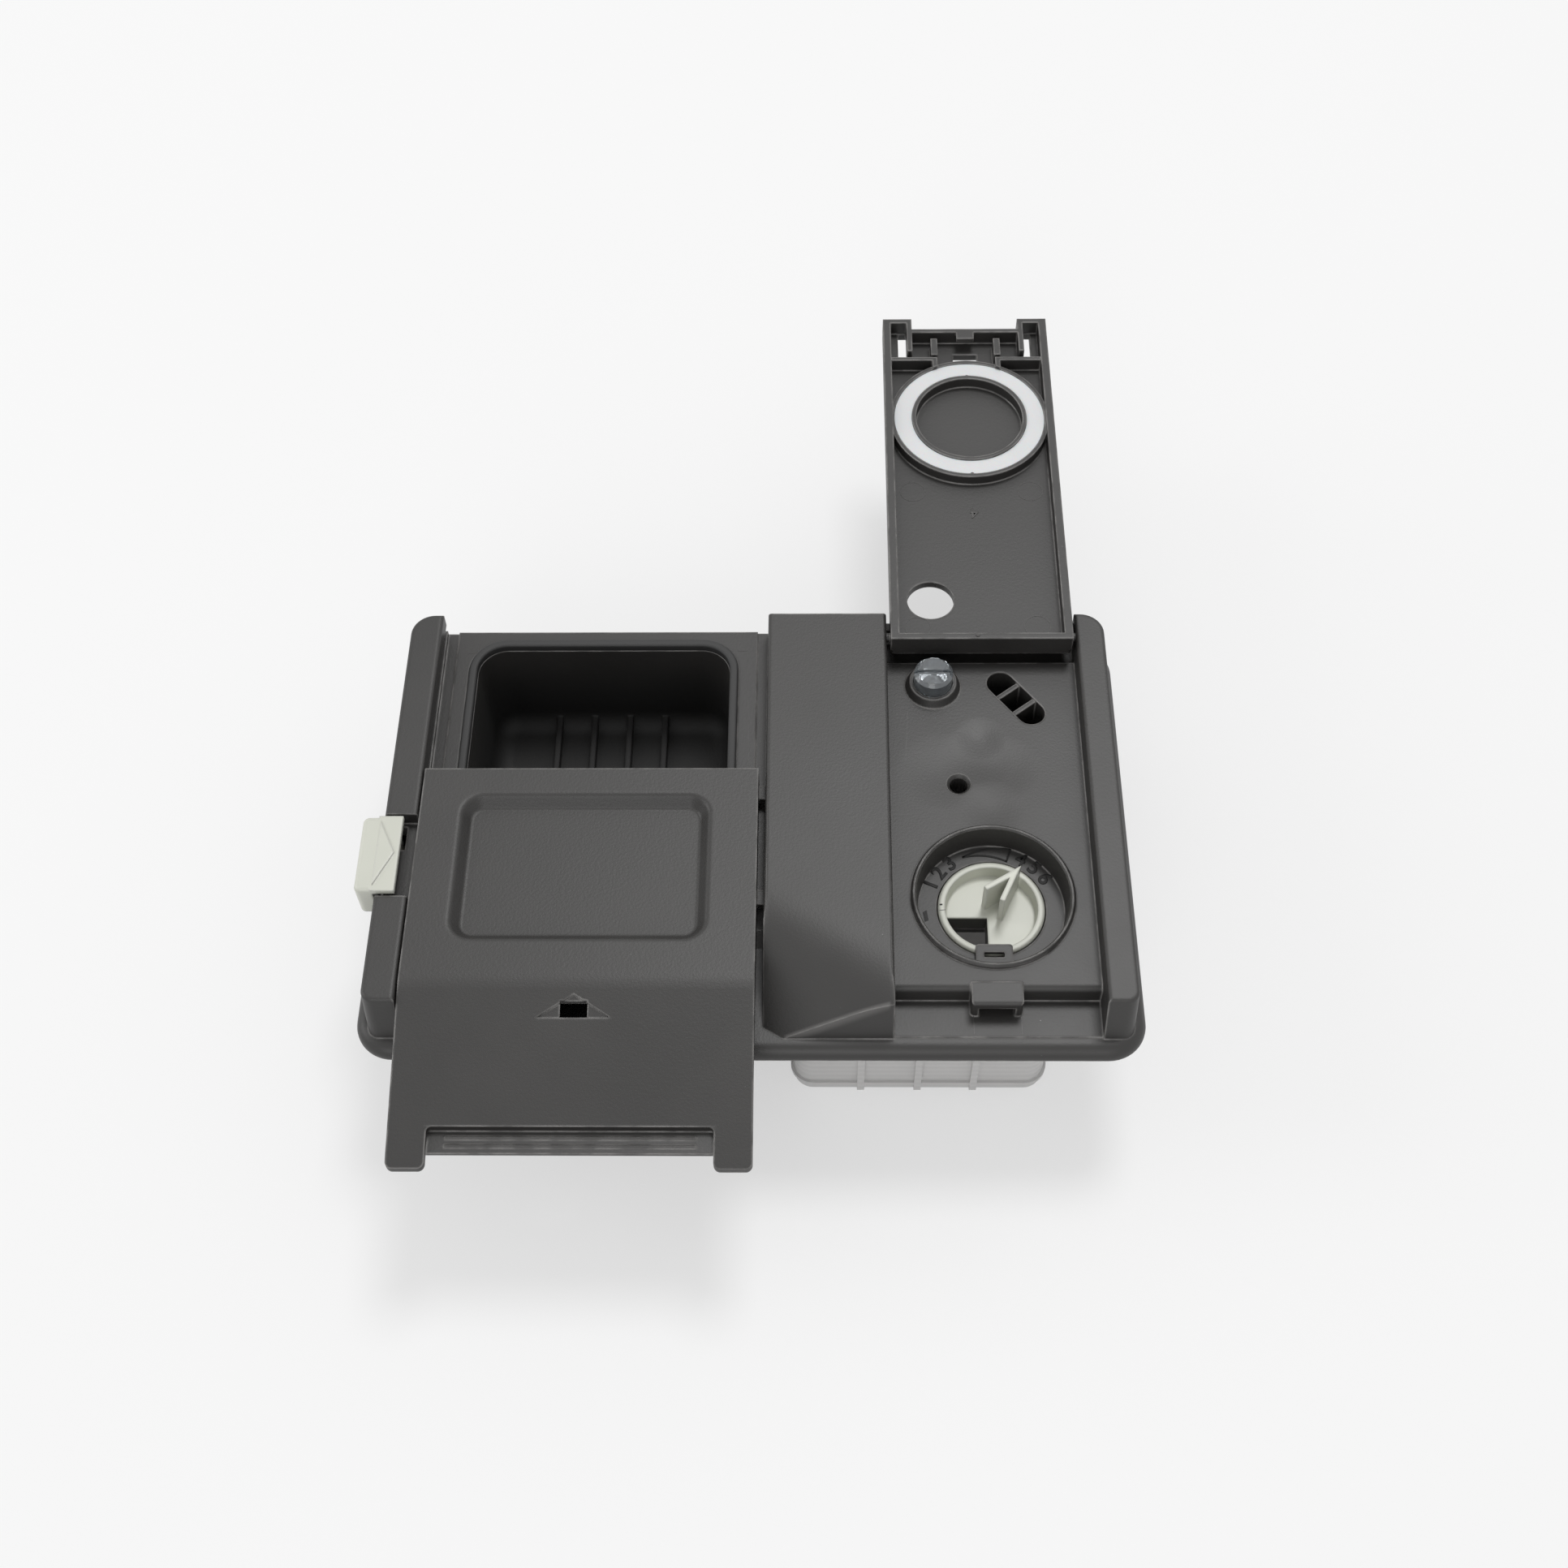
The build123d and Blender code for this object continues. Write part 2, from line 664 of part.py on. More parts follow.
def latch_loop():
    """The loop on the platform's front wall that the lid's tongue catches."""
    x0, x1 = LOOP_X - LOOP_W / 2, LOOP_X + LOOP_W / 2
    top = PLATFORM_Z + LOOP_TOP_RISE
    body = raised(plan(x0, x1, LOOP_FRONT_Y, PLATFORM_FRONT_Y + 1.9), FLANGE_T, top)
    corners = [(LOOP_X, top), (x0, top / 2), (x1, top / 2)]
    body = fillet([edge_near(body, x, LOOP_FRONT_Y, z) for x, z in corners], LOOP_EDGE_R)
    gap = plan(x0 + LOOP_LEG, x1 - LOOP_LEG, 0, PLATFORM_FRONT_Y)
    return body - raised(gap, FLANGE_T + STRIP_STEP, top - LOOP_BAR)


def button_notch():
    """The cuts in the left rail that the button sits and moves in."""
    y0, y1 = BUTTON_FRONT_Y - NOTCH_GAP, BUTTON_BACK_Y + 2 * NOTCH_GAP
    block_x1 = BUTTON_PLATE_X + BUTTON_TRAVEL + FIT
    outer = raised(plan(-2, block_x1, y0, y1), BUTTON_BLOCK_Z - FIT, TOP_Z + 1)
    inner = raised(plan(block_x1, RAIL_IN_X + 0.5, y0, y1), NOTCH_FLOOR_Z, TOP_Z + 1)
    leg_y0, leg_y1 = LATCH_Y - BUTTON_LEG_W / 2 - FIT, LATCH_Y + BUTTON_LEG_W / 2 + FIT
    leg_x1 = BUTTON_LEG_X + BUTTON_LEG_T + BUTTON_TRAVEL + FIT
    shaft = raised(plan(BUTTON_LEG_X - FIT, leg_x1, leg_y0, leg_y1), 0, TOP_Z)
    foot_z1 = BUTTON_FOOT_Z + BUTTON_FOOT_H + FIT
    window = raised(plan(BUTTON_LEG_X, RAIL_IN_X + 0.5, leg_y0, leg_y1), BUTTON_FOOT_Z - FIT, foot_z1)
    return [outer, inner, shaft, window]


def guide_slots():
    """The grooves beside the bay that the cover's lugs run in, the left one open at the rear."""
    back = REAR_Y - WALL
    left = plan(RAIL_IN_X - LUG_DEPTH, RAIL_IN_X + 0.5, GUIDE_FRONT_Y, PANEL_D)
    right = plan(COLUMN_X - 0.5, COLUMN_X + LUG_DEPTH + 0.5, COLUMN_GUIDE_Y, back)
    through = plan(COLUMN_X, COLUMN_X + COLUMN_LEFT_WALL + 0.5, spring_arm_y() - FIT, back)
    return [raised(outline, GUIDE_Z, GUIDE_Z + GUIDE_H) for outline in (left, right, through)]


def latch_ears():
    """The two ears under the deck that carry the latch pin."""
    ears = []
    inner = LATCH_T / 2 + EAR_GAP
    x0, x1 = PIVOT_X - EAR_W / 2, PIVOT_X + EAR_W / 2
    outline = [(x0, DECK_Z - 1), (x1, DECK_Z - 1), (x1, PIVOT_Z), (x0, PIVOT_Z)]
    for y0 in (LATCH_Y - inner - EAR_T, LATCH_Y + inner):
        ear = along(outline, y0, y0 + EAR_T) + pin(PIVOT_X, PIVOT_Z, y0, y0 + EAR_T, EAR_W / 2)
        ears.append(ear - pin(PIVOT_X, PIVOT_Z, y0, y0 + EAR_T, PIVOT_R))
    return ears


def case_screw_places():
    left = CASE_X - CASE_EAR_REACH / 2
    right = CASE_X1 + CASE_EAR_REACH / 2
    front = CASE_Y + CASE_CORNER_R + CASE_EAR_W / 2
    clear_of_foot = LATCH_Y - BUTTON_LEG_W / 2 - FIT - BOSS_R - 1
    back = CASE_Y1 - CASE_CORNER_R - CASE_EAR_W / 2
    return [(left, front), (left, clear_of_foot), (right, front), (right, back)]


def tank_screw_places():
    reach = CASE_EAR_REACH / 2
    right = TANK_X1 + TANK_STEP_W + reach
    return [
        (TANK_X - reach, TANK_Y + 12), (TANK_X - reach, TANK_Y + TANK_L),
        (right, TANK_Y + TANK_STEP_L + 10), (right, TANK_Y + TANK_L - 12),
    ]


def ceiling_z(x, y):
    """The top face above a point, used to keep a blind hole inside the panel."""
    if x > LID_BAY_X:
        return PLATFORM_Z
    ramp = (y - RAMP_FOOT_Y) / (RAMP_TOP_Y - RAMP_FOOT_Y)
    return FLANGE_T + (DECK_Z - FLANGE_T) * min(max(ramp, 0), 1)


def breather_bore():
    """The countersunk hole that lets air into the tank."""
    sink = PLATFORM_Z - (BREATHER_SINK_R - BREATHER_R)
    outline = [
        (0, TANK_TOP_Z), (BREATHER_R, TANK_TOP_Z), (BREATHER_R, sink),
        (BREATHER_SINK_R, PLATFORM_Z), (BREATHER_SINK_R, TOP_Z), (0, TOP_Z),
    ]
    return turned(outline, BREATHER_X, BREATHER_Y)


def tooth_hole():
    """The hole in the deck that the latch's tooth moves in."""
    x0 = WINDOW_X - TOOTH_W / 2 - FIT
    half = LATCH_T / 2 + FIT
    return raised(plan(x0, x0 + TOOTH_HOLE_W, LATCH_Y - half, LATCH_Y + half), 0, TOP_Z)


def screw_bosses():
    """Bosses that hang from the panel, each with its pilot hole: (boss, hole) pairs."""
    pairs = []
    for places, foot in ((case_screw_places(), CASE_TOP_Z), (tank_screw_places(), TANK_LID_TOP)):
        for x, y in places:
            roof = ceiling_z(x, y)
            pairs.append((post(x, y, foot, roof - 1, BOSS_R), post(x, y, foot, roof - WALL, PILOT_R)))
    return pairs


def panel_housing():
    """The moulded panel: a thin shell over its rails, column, deck, platform, cup and well."""
    body = flange() + rail(LEFT_LIP, RAIL_IN_X) + rail(RIGHT_RAIL_OUT_X, RIGHT_RAIL_IN_X)
    body = body + column() + deck() + platform()
    for cavity in (column_cavity, deck_cavity, left_rail_cavity, right_rail_cavity, platform_cavity):
        body -= cavity()
    body += cup_body(WALL, DECK_Z - 1, CUP_FLOOR_Z - WALL, CUP_FLOOR_R + WALL)
    body += well_form()
    body += lens_collar()
    body += post(BREATHER_X, BREATHER_Y, TANK_LID_TOP, PLATFORM_Z - 1, BREATHER_SINK_R + 1)
    body += raised(vent_cells(VENT_WALL), VENT_FLOOR_Z - VENT_WALL, PLATFORM_Z - 1)
    body += latch_loop()
    for ear in latch_ears():
        body += ear
    bosses = screw_bosses()
    for boss, hole in bosses:
        body += boss
    inside = raised(plan(LEFT_LIP, RIGHT_RAIL_OUT_X, 0, PANEL_D), 0, TOP_Z)
    for x in MOUNT_XS:
        for y in MOUNT_YS:
            body += post(x, y, 0, TOP_Z - WALL, MOUNT_BOSS_R) & inside
    body -= cup_body(0, DECK_Z + 0.01, CUP_FLOOR_Z, CUP_FLOOR_R)
    body -= raised(cup_outline(SEAL_W), DECK_Z - SEAL_SUNK, TOP_Z)
    for fin in cup_ribs():
        body += fin
    body -= well_hollow()
    body -= sector(SECTOR_R, NECK_BOTTOM_Z - 1, WELL_FLOOR_Z, -SECTOR_WALL)
    body += dial_tab()
    body -= post(LENS_X, LENS_Y, TANK_TOP_Z, TOP_Z, LENS_R + FIT / 2)
    body -= breather_bore()
    body -= raised(vent_cells(), VENT_FLOOR_Z, TOP_Z)
    outlet = plan(VENT_X - VENT_OUTLET_W / 2, VENT_X + VENT_OUTLET_W / 2, VENT_Y, VENT_Y + VENT_SPAN)
    body -= raised(outlet, VENT_FLOOR_Z, VENT_FLOOR_Z + VENT_OUTLET_H)
    body += vent_bars()
    body -= tooth_hole()
    for cut in button_notch() + guide_slots():
        body -= cut
    for x in (LID_BAY_X, RIGHT_RAIL_IN_X):
        body -= rod(x - HINGE_PIN_L, x + HINGE_PIN_L, HINGE_Y, HINGE_Z, HINGE_PIN_R + PIN_CLEAR)
    for boss, hole in bosses:
        body -= hole
    for x in MOUNT_XS:
        for y in MOUNT_YS:
            body -= post(x, y, 0, MOUNT_DEPTH, MOUNT_PILOT_R)
    return body


def cup_seal():
    """The soft bead that lies in its groove round the cup's mouth."""
    bottom = DECK_Z - SEAL_SUNK
    ring = raised(cup_outline(SEAL_W) - cup_outline(0), bottom, DECK_Z + SEAL_PROUD)
    return fillet(ring.faces().sort_by(Axis.Z)[-1].edges(), 0.6)


def door_gasket():
    e = GASKET_EDGE
    outer = plan(e, PANEL_W - e, e, PANEL_D - e, PANEL_CORNER_R - e)
    e += GASKET_W
    inner = plan(e, PANEL_W - e, e, PANEL_D - e, PANEL_CORNER_R - e)
    return raised(outer - inner, -GASKET_T, 0)


def cover_z(y):
    """Height of the cover's outer face over the panel, at a place along it when open."""
    return TOP_Z - max(0, COVER_BEND_Y - y) * math.tan(COVER_SLOPE)


def cover_sheet(depth, x0, x1):
    """The bent sheet of the cover between two sides, its top face lowered by depth."""
    fall = depth / math.cos(COVER_SLOPE)
    inner = COVER_T / math.cos(COVER_SLOPE)
    bend = COVER_BEND_Y + depth * math.tan(COVER_SLOPE / 2)
    bend_in = bend + COVER_T * math.tan(COVER_SLOPE / 2)
    top = TOP_Z - depth
    low = top - COVER_T
    points = [
        (COVER_BACK_Y, top), (bend, top), (COVER_TIP_Y, COVER_TIP_Z - fall),
        (COVER_TIP_Y, COVER_TIP_Z - fall - inner), (bend_in, low), (COVER_BACK_Y, low),
    ]
    face = make_face(Polyline(*points, close=True))
    face = fillet(face.vertices().sort_by_distance((bend, top, 0))[0], COVER_BEND_R)
    face = fillet(face.vertices().sort_by_distance((bend_in, low, 0))[0], COVER_BEND_R - COVER_T)
    return extrude(Plane.YZ.offset(x0) * face, x1 - x0)


def cover_skirts():
    """Side and rear walls under the cover's edges."""
    root = TOP_Z - COVER_T / 2
    meet = COVER_BEND_Y - (root - SKIRT_BOTTOM_Z) / math.tan(COVER_SLOPE)
    low = SKIRT_BOTTOM_Z
    side = [(COVER_BACK_Y, low), (COVER_BACK_Y, root), (COVER_BEND_Y, root), (meet, low)]
    walls = [across(side, x, x + SKIRT_T) for x in (COVER_X, COVER_X1 - SKIRT_T)]
    back_z = TOP_Z - COVER_T - BACK_SKIRT_H
    walls.append(raised(plan(COVER_X, COVER_X1, COVER_BACK_Y - SKIRT_T, COVER_BACK_Y), back_z, root))
    return walls


def pocket(depth, grow):
    """The shallow dish pressed into the cover, or its underside when grown and lowered."""
    x0 = COVER_X + POCKET_LEFT
    top = plan(x0 - grow, x0 + POCKET_W + grow, POCKET_Y - grow, POCKET_Y + POCKET_L + grow, POCKET_R + grow)
    s = POCKET_SLOPE - grow
    floor_r = max(POCKET_R - s, 1.0)
    floor = plan(x0 + s, x0 + POCKET_W - s, POCKET_Y + s, POCKET_Y + POCKET_L - s, floor_r)
    body = loft([Pos(0, 0, TOP_Z - depth) * floor, Pos(0, 0, TOP_Z) * top])
    return body


def cover_rib_ring():
    """The wall under the cover that closes on the cup's bead."""
    shift = -COVER_TRAVEL
    mid = SEAL_W / 2
    ring = cup_outline(mid + COVER_RIB_T / 2, shift) - cup_outline(mid - COVER_RIB_T / 2, shift)
    return raised(ring, DECK_Z + SEAL_PROUD + FIT, TOP_Z - COVER_T / 2)


def cover_lip():
    """The low grip between the cover's two feet, with its two ridges."""
    x0, x1 = COVER_X + FOOT_W - 0.5, COVER_X1 - FOOT_W + 0.5
    y1 = COVER_TIP_Y + FOOT_L + LIP_L
    top = COVER_TIP_Z - COVER_T / 9
    lip = raised(plan(x0, x1, COVER_TIP_Y + FOOT_L, y1 + COVER_T), top - LIP_T, top)
    riser = raised(plan(x0, x1, y1, y1 + COVER_T), top - LIP_T, cover_z(y1 + COVER_T) - 0.4)
    grip = lip + riser
    for t in GRIP_RIDGE_PLACES:
        y = COVER_TIP_Y + FOOT_L + t * LIP_L
        grip += rod(x0 + GRIP_RIDGE_INSET, x1 - GRIP_RIDGE_INSET, y, top, GRIP_RIDGE_R)
    return grip


def spring_arm_y():
    return COVER_BACK_Y - BACK_LUG_INSET - LUG_L


def cover_lugs():
    """The lugs on the skirts that run in the panel's grooves, one of them long enough to take the spring."""
    z0, z1 = GUIDE_Z + FIT, GUIDE_Z + GUIDE_H - FIT
    left = COVER_X - COVER_LEFT_GAP - LUG_DEPTH + FIT
    lugs = [raised(plan(left, COVER_X + 1, y, y + LUG_L), z0, z1) for y in (LUG_FRONT_Y, spring_arm_y())]
    arm_end = COLUMN_X + COLUMN_LEFT_WALL + COVER_ARM_REACH
    for y, right in ((COLUMN_LUG_Y, COLUMN_X + LUG_DEPTH), (spring_arm_y(), arm_end)):
        lugs.append(raised(plan(COVER_X1 - 1, right, y, y + LUG_L), z0, z1))
    return lugs


def arrow_recess():
    """The arrow sunk in the cover's sloping face, its floor parallel to that face."""
    y0 = WINDOW_Y - WINDOW_L / 2 + 0.05
    y1 = y0 + ARROW_L
    corners = [(WINDOW_X - ARROW_BASE / 2, y0), (WINDOW_X + ARROW_BASE / 2, y0), (WINDOW_X, y1)]
    outline = make_face(Polyline(*corners, close=True))
    above = [
        (y0 - 1, cover_z(y0 - 1) - ARROW_DEPTH), (y1 + 1, cover_z(y1 + 1) - ARROW_DEPTH),
        (y1 + 1, TOP_Z + 1), (y0 - 1, TOP_Z + 1),
    ]
    return raised(outline, 0, TOP_Z + 1) & across(above, WINDOW_X - ARROW_BASE, WINDOW_X + ARROW_BASE)


def pocket_rim(body):
    """The edges of the dish in the cover's top face."""
    x0 = COVER_X + POCKET_LEFT
    edges = body.edges().filter_by_position(Axis.Z, TOP_Z - 0.01, TOP_Z + 0.01)
    edges = edges.filter_by_position(Axis.X, x0 - 1, x0 + POCKET_W + 1)
    return edges.filter_by_position(Axis.Y, POCKET_Y - 1, POCKET_Y + POCKET_L + 1)


def sliding_cover():
    """The bent cover sheet with its skirts, dish, grip, feet, latch window and lugs."""
    body = cover_sheet(0, COVER_X, COVER_X1)
    for wall in cover_skirts():
        body += wall
    body += cover_rib_ring()
    body += pocket(POCKET_DEPTH + COVER_T, COVER_T * 0.6)
    dish = pocket(POCKET_DEPTH, 0)
    body -= fillet(dish.faces().sort_by(Axis.Z)[0].edges(), POCKET_FLOOR_R)
    body = fillet(pocket_rim(body), POCKET_EDGE_R)
    y_cut = COVER_TIP_Y + FOOT_L + LIP_L
    body -= raised(plan(COVER_X + FOOT_W, COVER_X1 - FOOT_W, COVER_TIP_Y - 5, y_cut, 1.2), -1, TOP_Z)
    body += cover_lip()
    for x in (COVER_X, COVER_X + FOOT_W, COVER_X1 - FOOT_W, COVER_X1):
        body = fillet(edge_near(body, x, COVER_TIP_Y, COVER_TIP_Z - COVER_T / 2), FOOT_R)
    body -= Pos(WINDOW_X, WINDOW_Y, TOP_Z / 2) * Box(WINDOW_W, WINDOW_L, 2 * TOP_Z)
    body -= arrow_recess()
    for lug in cover_lugs():
        body += lug
    return body


def lid_block(x0, x1, s0, s1, h0, h1):
    """A block of the open lid, s along it from the hinge and h above the hinge."""
    return raised(plan(x0, x1, HINGE_Y + s0, HINGE_Y + s1), HINGE_Z + h0, HINGE_Z + h1)


def lid_walls():
    """Side, end and cross walls inside the lid."""
    low = LID_IN_H - 0.5
    front = LID_LENGTH - HORN_L
    walls = [lid_block(LID_X, LID_X1, -LID_BACK, -LID_BACK + LID_BACK_WALL, low, LID_EDGE_H)]
    for x0 in (LID_X, LID_X1 - LID_WALL):
        walls.append(lid_block(x0, x0 + LID_WALL, -LID_BACK, LID_LENGTH, low, LID_EDGE_H))
    walls.append(lid_block(LID_X + HORN_W, LID_X1 - HORN_W, front - LID_FRONT_WALL, front, low, LID_EDGE_H))
    for x0, way in ((LID_X, 1), (LID_X1, -1)):
        inner = x0 + way * HORN_W
        cap = sorted((x0, inner))
        walls.append(lid_block(*cap, LID_LENGTH - HORN_CHEEK_T, LID_LENGTH, low, LID_EDGE_H))
        cheek = sorted((inner - way * HORN_CHEEK_T, inner))
        walls.append(lid_block(*cheek, LID_RIB_S + 1, LID_LENGTH, low, LID_EDGE_H))
        rib_x = LID_MID_X - way * LID_RIB_X
        cross = sorted((x0, rib_x))
        cross_s1 = CROSS_WALL_S + CROSS_WALL_T
        walls.append(lid_block(*cross, CROSS_WALL_S, cross_s1, low, LID_EDGE_H - FIT))
        rib = (rib_x - LID_RIB_W / 2, rib_x + LID_RIB_W / 2)
        walls.append(lid_block(*rib, LID_RIB_S, front - LID_RIB_END_GAP, low, LID_EDGE_H - 2 * FIT))
        web = (rib_x - LID_WEB_T / 2, rib_x + LID_WEB_T / 2)
        walls.append(lid_block(*web, SEAL_S + SEAL_OUTER_R - 3, cross_s1, low, LID_EDGE_H - FIT))
    return walls


def seal_groove():
    """The ring-shaped space that the lid's seal fills."""
    bottom = HINGE_Z + SEAL_TOP_H - SEAL_T
    return tube(LID_MID_X, HINGE_Y + SEAL_S, bottom, TOP_Z * 2, SEAL_OUTER_R, SEAL_INNER_R)


def seal_collars():
    """The two collars in the lid that hold its ring seal, the inner one a little taller."""
    y = HINGE_Y + SEAL_S
    floor = HINGE_Z + LID_IN_H - 0.5
    top = HINGE_Z + SEAL_TOP_H
    inner_r = SEAL_INNER_R - COLLAR_T
    outer = tube(LID_MID_X, y, floor, top + OUTER_COLLAR_RISE, SEAL_OUTER_R + COLLAR_T, inner_r)
    outer = outer & lid_block(LID_X, LID_X1, 0, LID_LENGTH, LID_OUT_H, TOP_Z)
    inner = tube(LID_MID_X, y, floor, top + INNER_COLLAR_RISE, SEAL_INNER_R, inner_r)
    return outer + inner - seal_groove()


def lid_openings():
    """What is cut from the lid: between its horns, beside them, the peephole and the indicator's hole."""
    through = (LID_OUT_H - 1, LID_IN_H + 0.1)
    horn_s = LID_LENGTH - HORN_L
    cuts = [lid_block(LID_X + HORN_W, LID_X1 - HORN_W, horn_s, LID_LENGTH + 1, LID_OUT_H - 1, LID_EDGE_H + 1)]
    slot_s = CROSS_WALL_S + CROSS_WALL_T
    for x0, way in ((LID_X, 1), (LID_X1, -1)):
        inner = x0 + way * (HORN_W - HORN_CHEEK_T)
        gap = sorted((inner - way * HORN_SLOT_W, inner))
        cuts.append(lid_block(*gap, slot_s, slot_s + HORN_SLOT_L, *through))
    peep = (LID_MID_X - PEEP_W / 2, LID_MID_X + PEEP_W / 2, PEEP_S - PEEP_L / 2, PEEP_S + PEEP_L / 2)
    cuts.append(lid_block(*peep, *through))
    cuts.append(post(LENS_X, 2 * HINGE_Y - LENS_Y, 0, TOP_Z * 2, LID_HOLE_R))
    return cuts


def lid_tongue():
    """The tongue on the lid's front wall that snaps into the panel's loop."""
    wall = LID_LENGTH - HORN_L - LID_FRONT_WALL
    half = TONGUE_W / 2
    return lid_block(
        LID_MID_X - half, LID_MID_X + half, wall - TONGUE_L, wall + 0.5, LID_EDGE_H - TONGUE_T, LID_EDGE_H
    )


def rinse_lid():
    """The lid of the rinse-aid side, lying open with its inside up."""
    outline = plan(LID_X, LID_X1, HINGE_Y - LID_BACK, HINGE_Y + LID_LENGTH, LID_CORNER_R)
    body = raised(outline, HINGE_Z + LID_OUT_H, HINGE_Z + LID_IN_H)
    for wall in lid_walls():
        body += wall
    body = body - seal_groove() + seal_collars()
    for cut in lid_openings():
        body -= cut
    body += lid_tongue()
    root = HINGE_PIN_L - HINGE_PIN_GAP
    for x0, x1 in ((LID_X - HINGE_PIN_L, LID_X + root), (LID_X1 - root, LID_X1 + HINGE_PIN_L)):
        body += rod(x0, x1, HINGE_Y, HINGE_Z, HINGE_PIN_R)
    return body


def lid_seal():
    y = HINGE_Y + SEAL_S
    top = HINGE_Z + SEAL_TOP_H
    ring = tube(LID_MID_X, y, top - SEAL_T, top, SEAL_OUTER_R - 0.05, SEAL_INNER_R + 0.05)
    for end in (-1, 1):
        ring -= post(LID_MID_X, y + end * (SEAL_INNER_R if end > 0 else SEAL_OUTER_R), top - SEAL_T, top, 0.6)
    return ring


def dial_groove(outer_r):
    """The ring groove low on the dial, out to a radius."""
    z = NECK_BOTTOM_Z + NECK_FLOOR_T + FIT + DIAL_GROOVE_RISE
    return tube(WELL_X, WELL_Y, z, z + DIAL_RING_SECTION, outer_r, DIAL_R - DIAL_GROOVE_DEPTH)


def dial_pointer():
    """The tall V-shaped pointer that stands on the dial's floor."""
    half = math.atan2(POINTER_HALF_W, POINTER_L)
    notch = POINTER_L - POINTER_WALL / math.sin(half)
    inner = POINTER_HALF_W - POINTER_WALL
    corners = [
        (POINTER_L, 0), (0.4, POINTER_HALF_W), (0.1, inner), (notch, 0), (0.1, -inner), (0.4, -POINTER_HALF_W)
    ]
    outline = make_face(Polyline(*corners, close=True))
    return raised(Pos(WELL_X, WELL_Y) * Rot(0, 0, POINTER_DEG) * outline, DIAL_FLOOR_Z - 0.5, POINTER_TOP_Z)


def dosage_dial():
    """The dial: a ring round a sunk floor, open at one quarter, with a tall V-shaped pointer."""
    bottom = NECK_BOTTOM_Z + NECK_FLOOR_T + FIT
    inner = DIAL_R - DIAL_RING_W
    under = DIAL_FLOOR_Z - DIAL_FLOOR_T
    outline = [
        (0, under), (inner, under), (inner, bottom), (DIAL_R, bottom),
        (DIAL_R, DIAL_TOP_Z - DIAL_LIP_R), (DIAL_R - DIAL_LIP_R, DIAL_TOP_Z),
        (inner, DIAL_TOP_Z), (inner - 0.5, DIAL_FLOOR_Z), (0, DIAL_FLOOR_Z),
    ]
    body = turned(outline, WELL_X, WELL_Y)
    walls = sector(inner + 0.3, bottom, DIAL_FLOOR_Z)
    body += walls - sector(inner + 0.5, bottom - 1, DIAL_FLOOR_Z + 1, -SECTOR_WALL)
    body -= sector(SECTOR_R, bottom - 1, DIAL_FLOOR_Z + 0.01, -SECTOR_WALL)
    return body - dial_groove(DIAL_R + 1) + dial_pointer()


def dial_ring():
    """The dial's seal ring, in its groove."""
    return dial_groove(DIAL_R + FIT - DIAL_RING_GAP)


def neck_seal():
    return tube(WELL_X, WELL_Y, TANK_LID_TOP, WELL_FLOOR_Z - WALL, NECK_R + 2.6, NECK_R)


def indicator_lens():
    """The clear level indicator, slotted across its top and pointed at its foot."""
    outline = [
        (0, LENS_TIP_Z), (LENS_R, LENS_TIP_Z + LENS_R), (LENS_R, LENS_TOP_Z - LENS_CHAMFER),
        (LENS_R - LENS_CHAMFER, LENS_TOP_Z), (0, LENS_TOP_Z),
    ]
    slot = Pos(LENS_X, LENS_Y, LENS_TOP_Z) * Box(3 * LENS_R, LENS_SLOT_W, 2 * LENS_SLOT_DEPTH)
    return turned(outline, LENS_X, LENS_Y) - slot


def release_button():
    """The side button: a rounded block, a thin plate with a raised arrow, and the latch's leg."""
    y0, y1 = BUTTON_FRONT_Y, BUTTON_BACK_Y
    x1 = BUTTON_PLATE_X + BUTTON_PLATE_W
    block = raised(plan(BUTTON_OUT_X, BUTTON_PLATE_X, y0, y1), BUTTON_BLOCK_Z, BUTTON_TOP_Z)
    corners = [edge_near(block, BUTTON_OUT_X, y, BUTTON_TOP_Z - 4) for y in (y0, y1)]
    block = fillet(corners, BUTTON_R)
    top = block.faces().sort_by(Axis.Z)[-1]
    block = fillet([e for e in top.edges() if e.center().X < BUTTON_PLATE_X - 0.1], BUTTON_R * 0.75)
    plate = raised(plan(BUTTON_PLATE_X - 0.5, x1, y0, y1), BUTTON_TOP_Z - BUTTON_PLATE_T, BUTTON_TOP_Z)
    tip = (BUTTON_PLATE_X + BUTTON_ARROW_L, (y0 + y1) / 2)
    base = [(BUTTON_PLATE_X, y0 + BUTTON_ARROW_INSET), (BUTTON_PLATE_X, y1 - BUTTON_ARROW_INSET)]
    arrow = make_face(Polyline(base[0], tip, base[1], close=True))
    mark = raised(arrow, BUTTON_TOP_Z - 0.5, BUTTON_TOP_Z + BUTTON_ARROW_H)
    leg_y0, leg_y1 = LATCH_Y - BUTTON_LEG_W / 2, LATCH_Y + BUTTON_LEG_W / 2
    root = BUTTON_TOP_Z - 0.5
    leg = raised(plan(BUTTON_LEG_X, BUTTON_LEG_X + BUTTON_LEG_T, leg_y0, leg_y1), BUTTON_FOOT_Z, root)
    web = raised(plan(BUTTON_PLATE_X - 0.5, BUTTON_LEG_X + 0.5, y0 + 8, y1 - 1), NOTCH_FLOOR_Z + FIT, root)
    foot = plan(BUTTON_LEG_X, LATCH_PUSH_X - FIT, leg_y0, leg_y1)
    foot = raised(foot, BUTTON_FOOT_Z, BUTTON_FOOT_Z + BUTTON_FOOT_H)
    return block + plate + mark + leg + web + foot


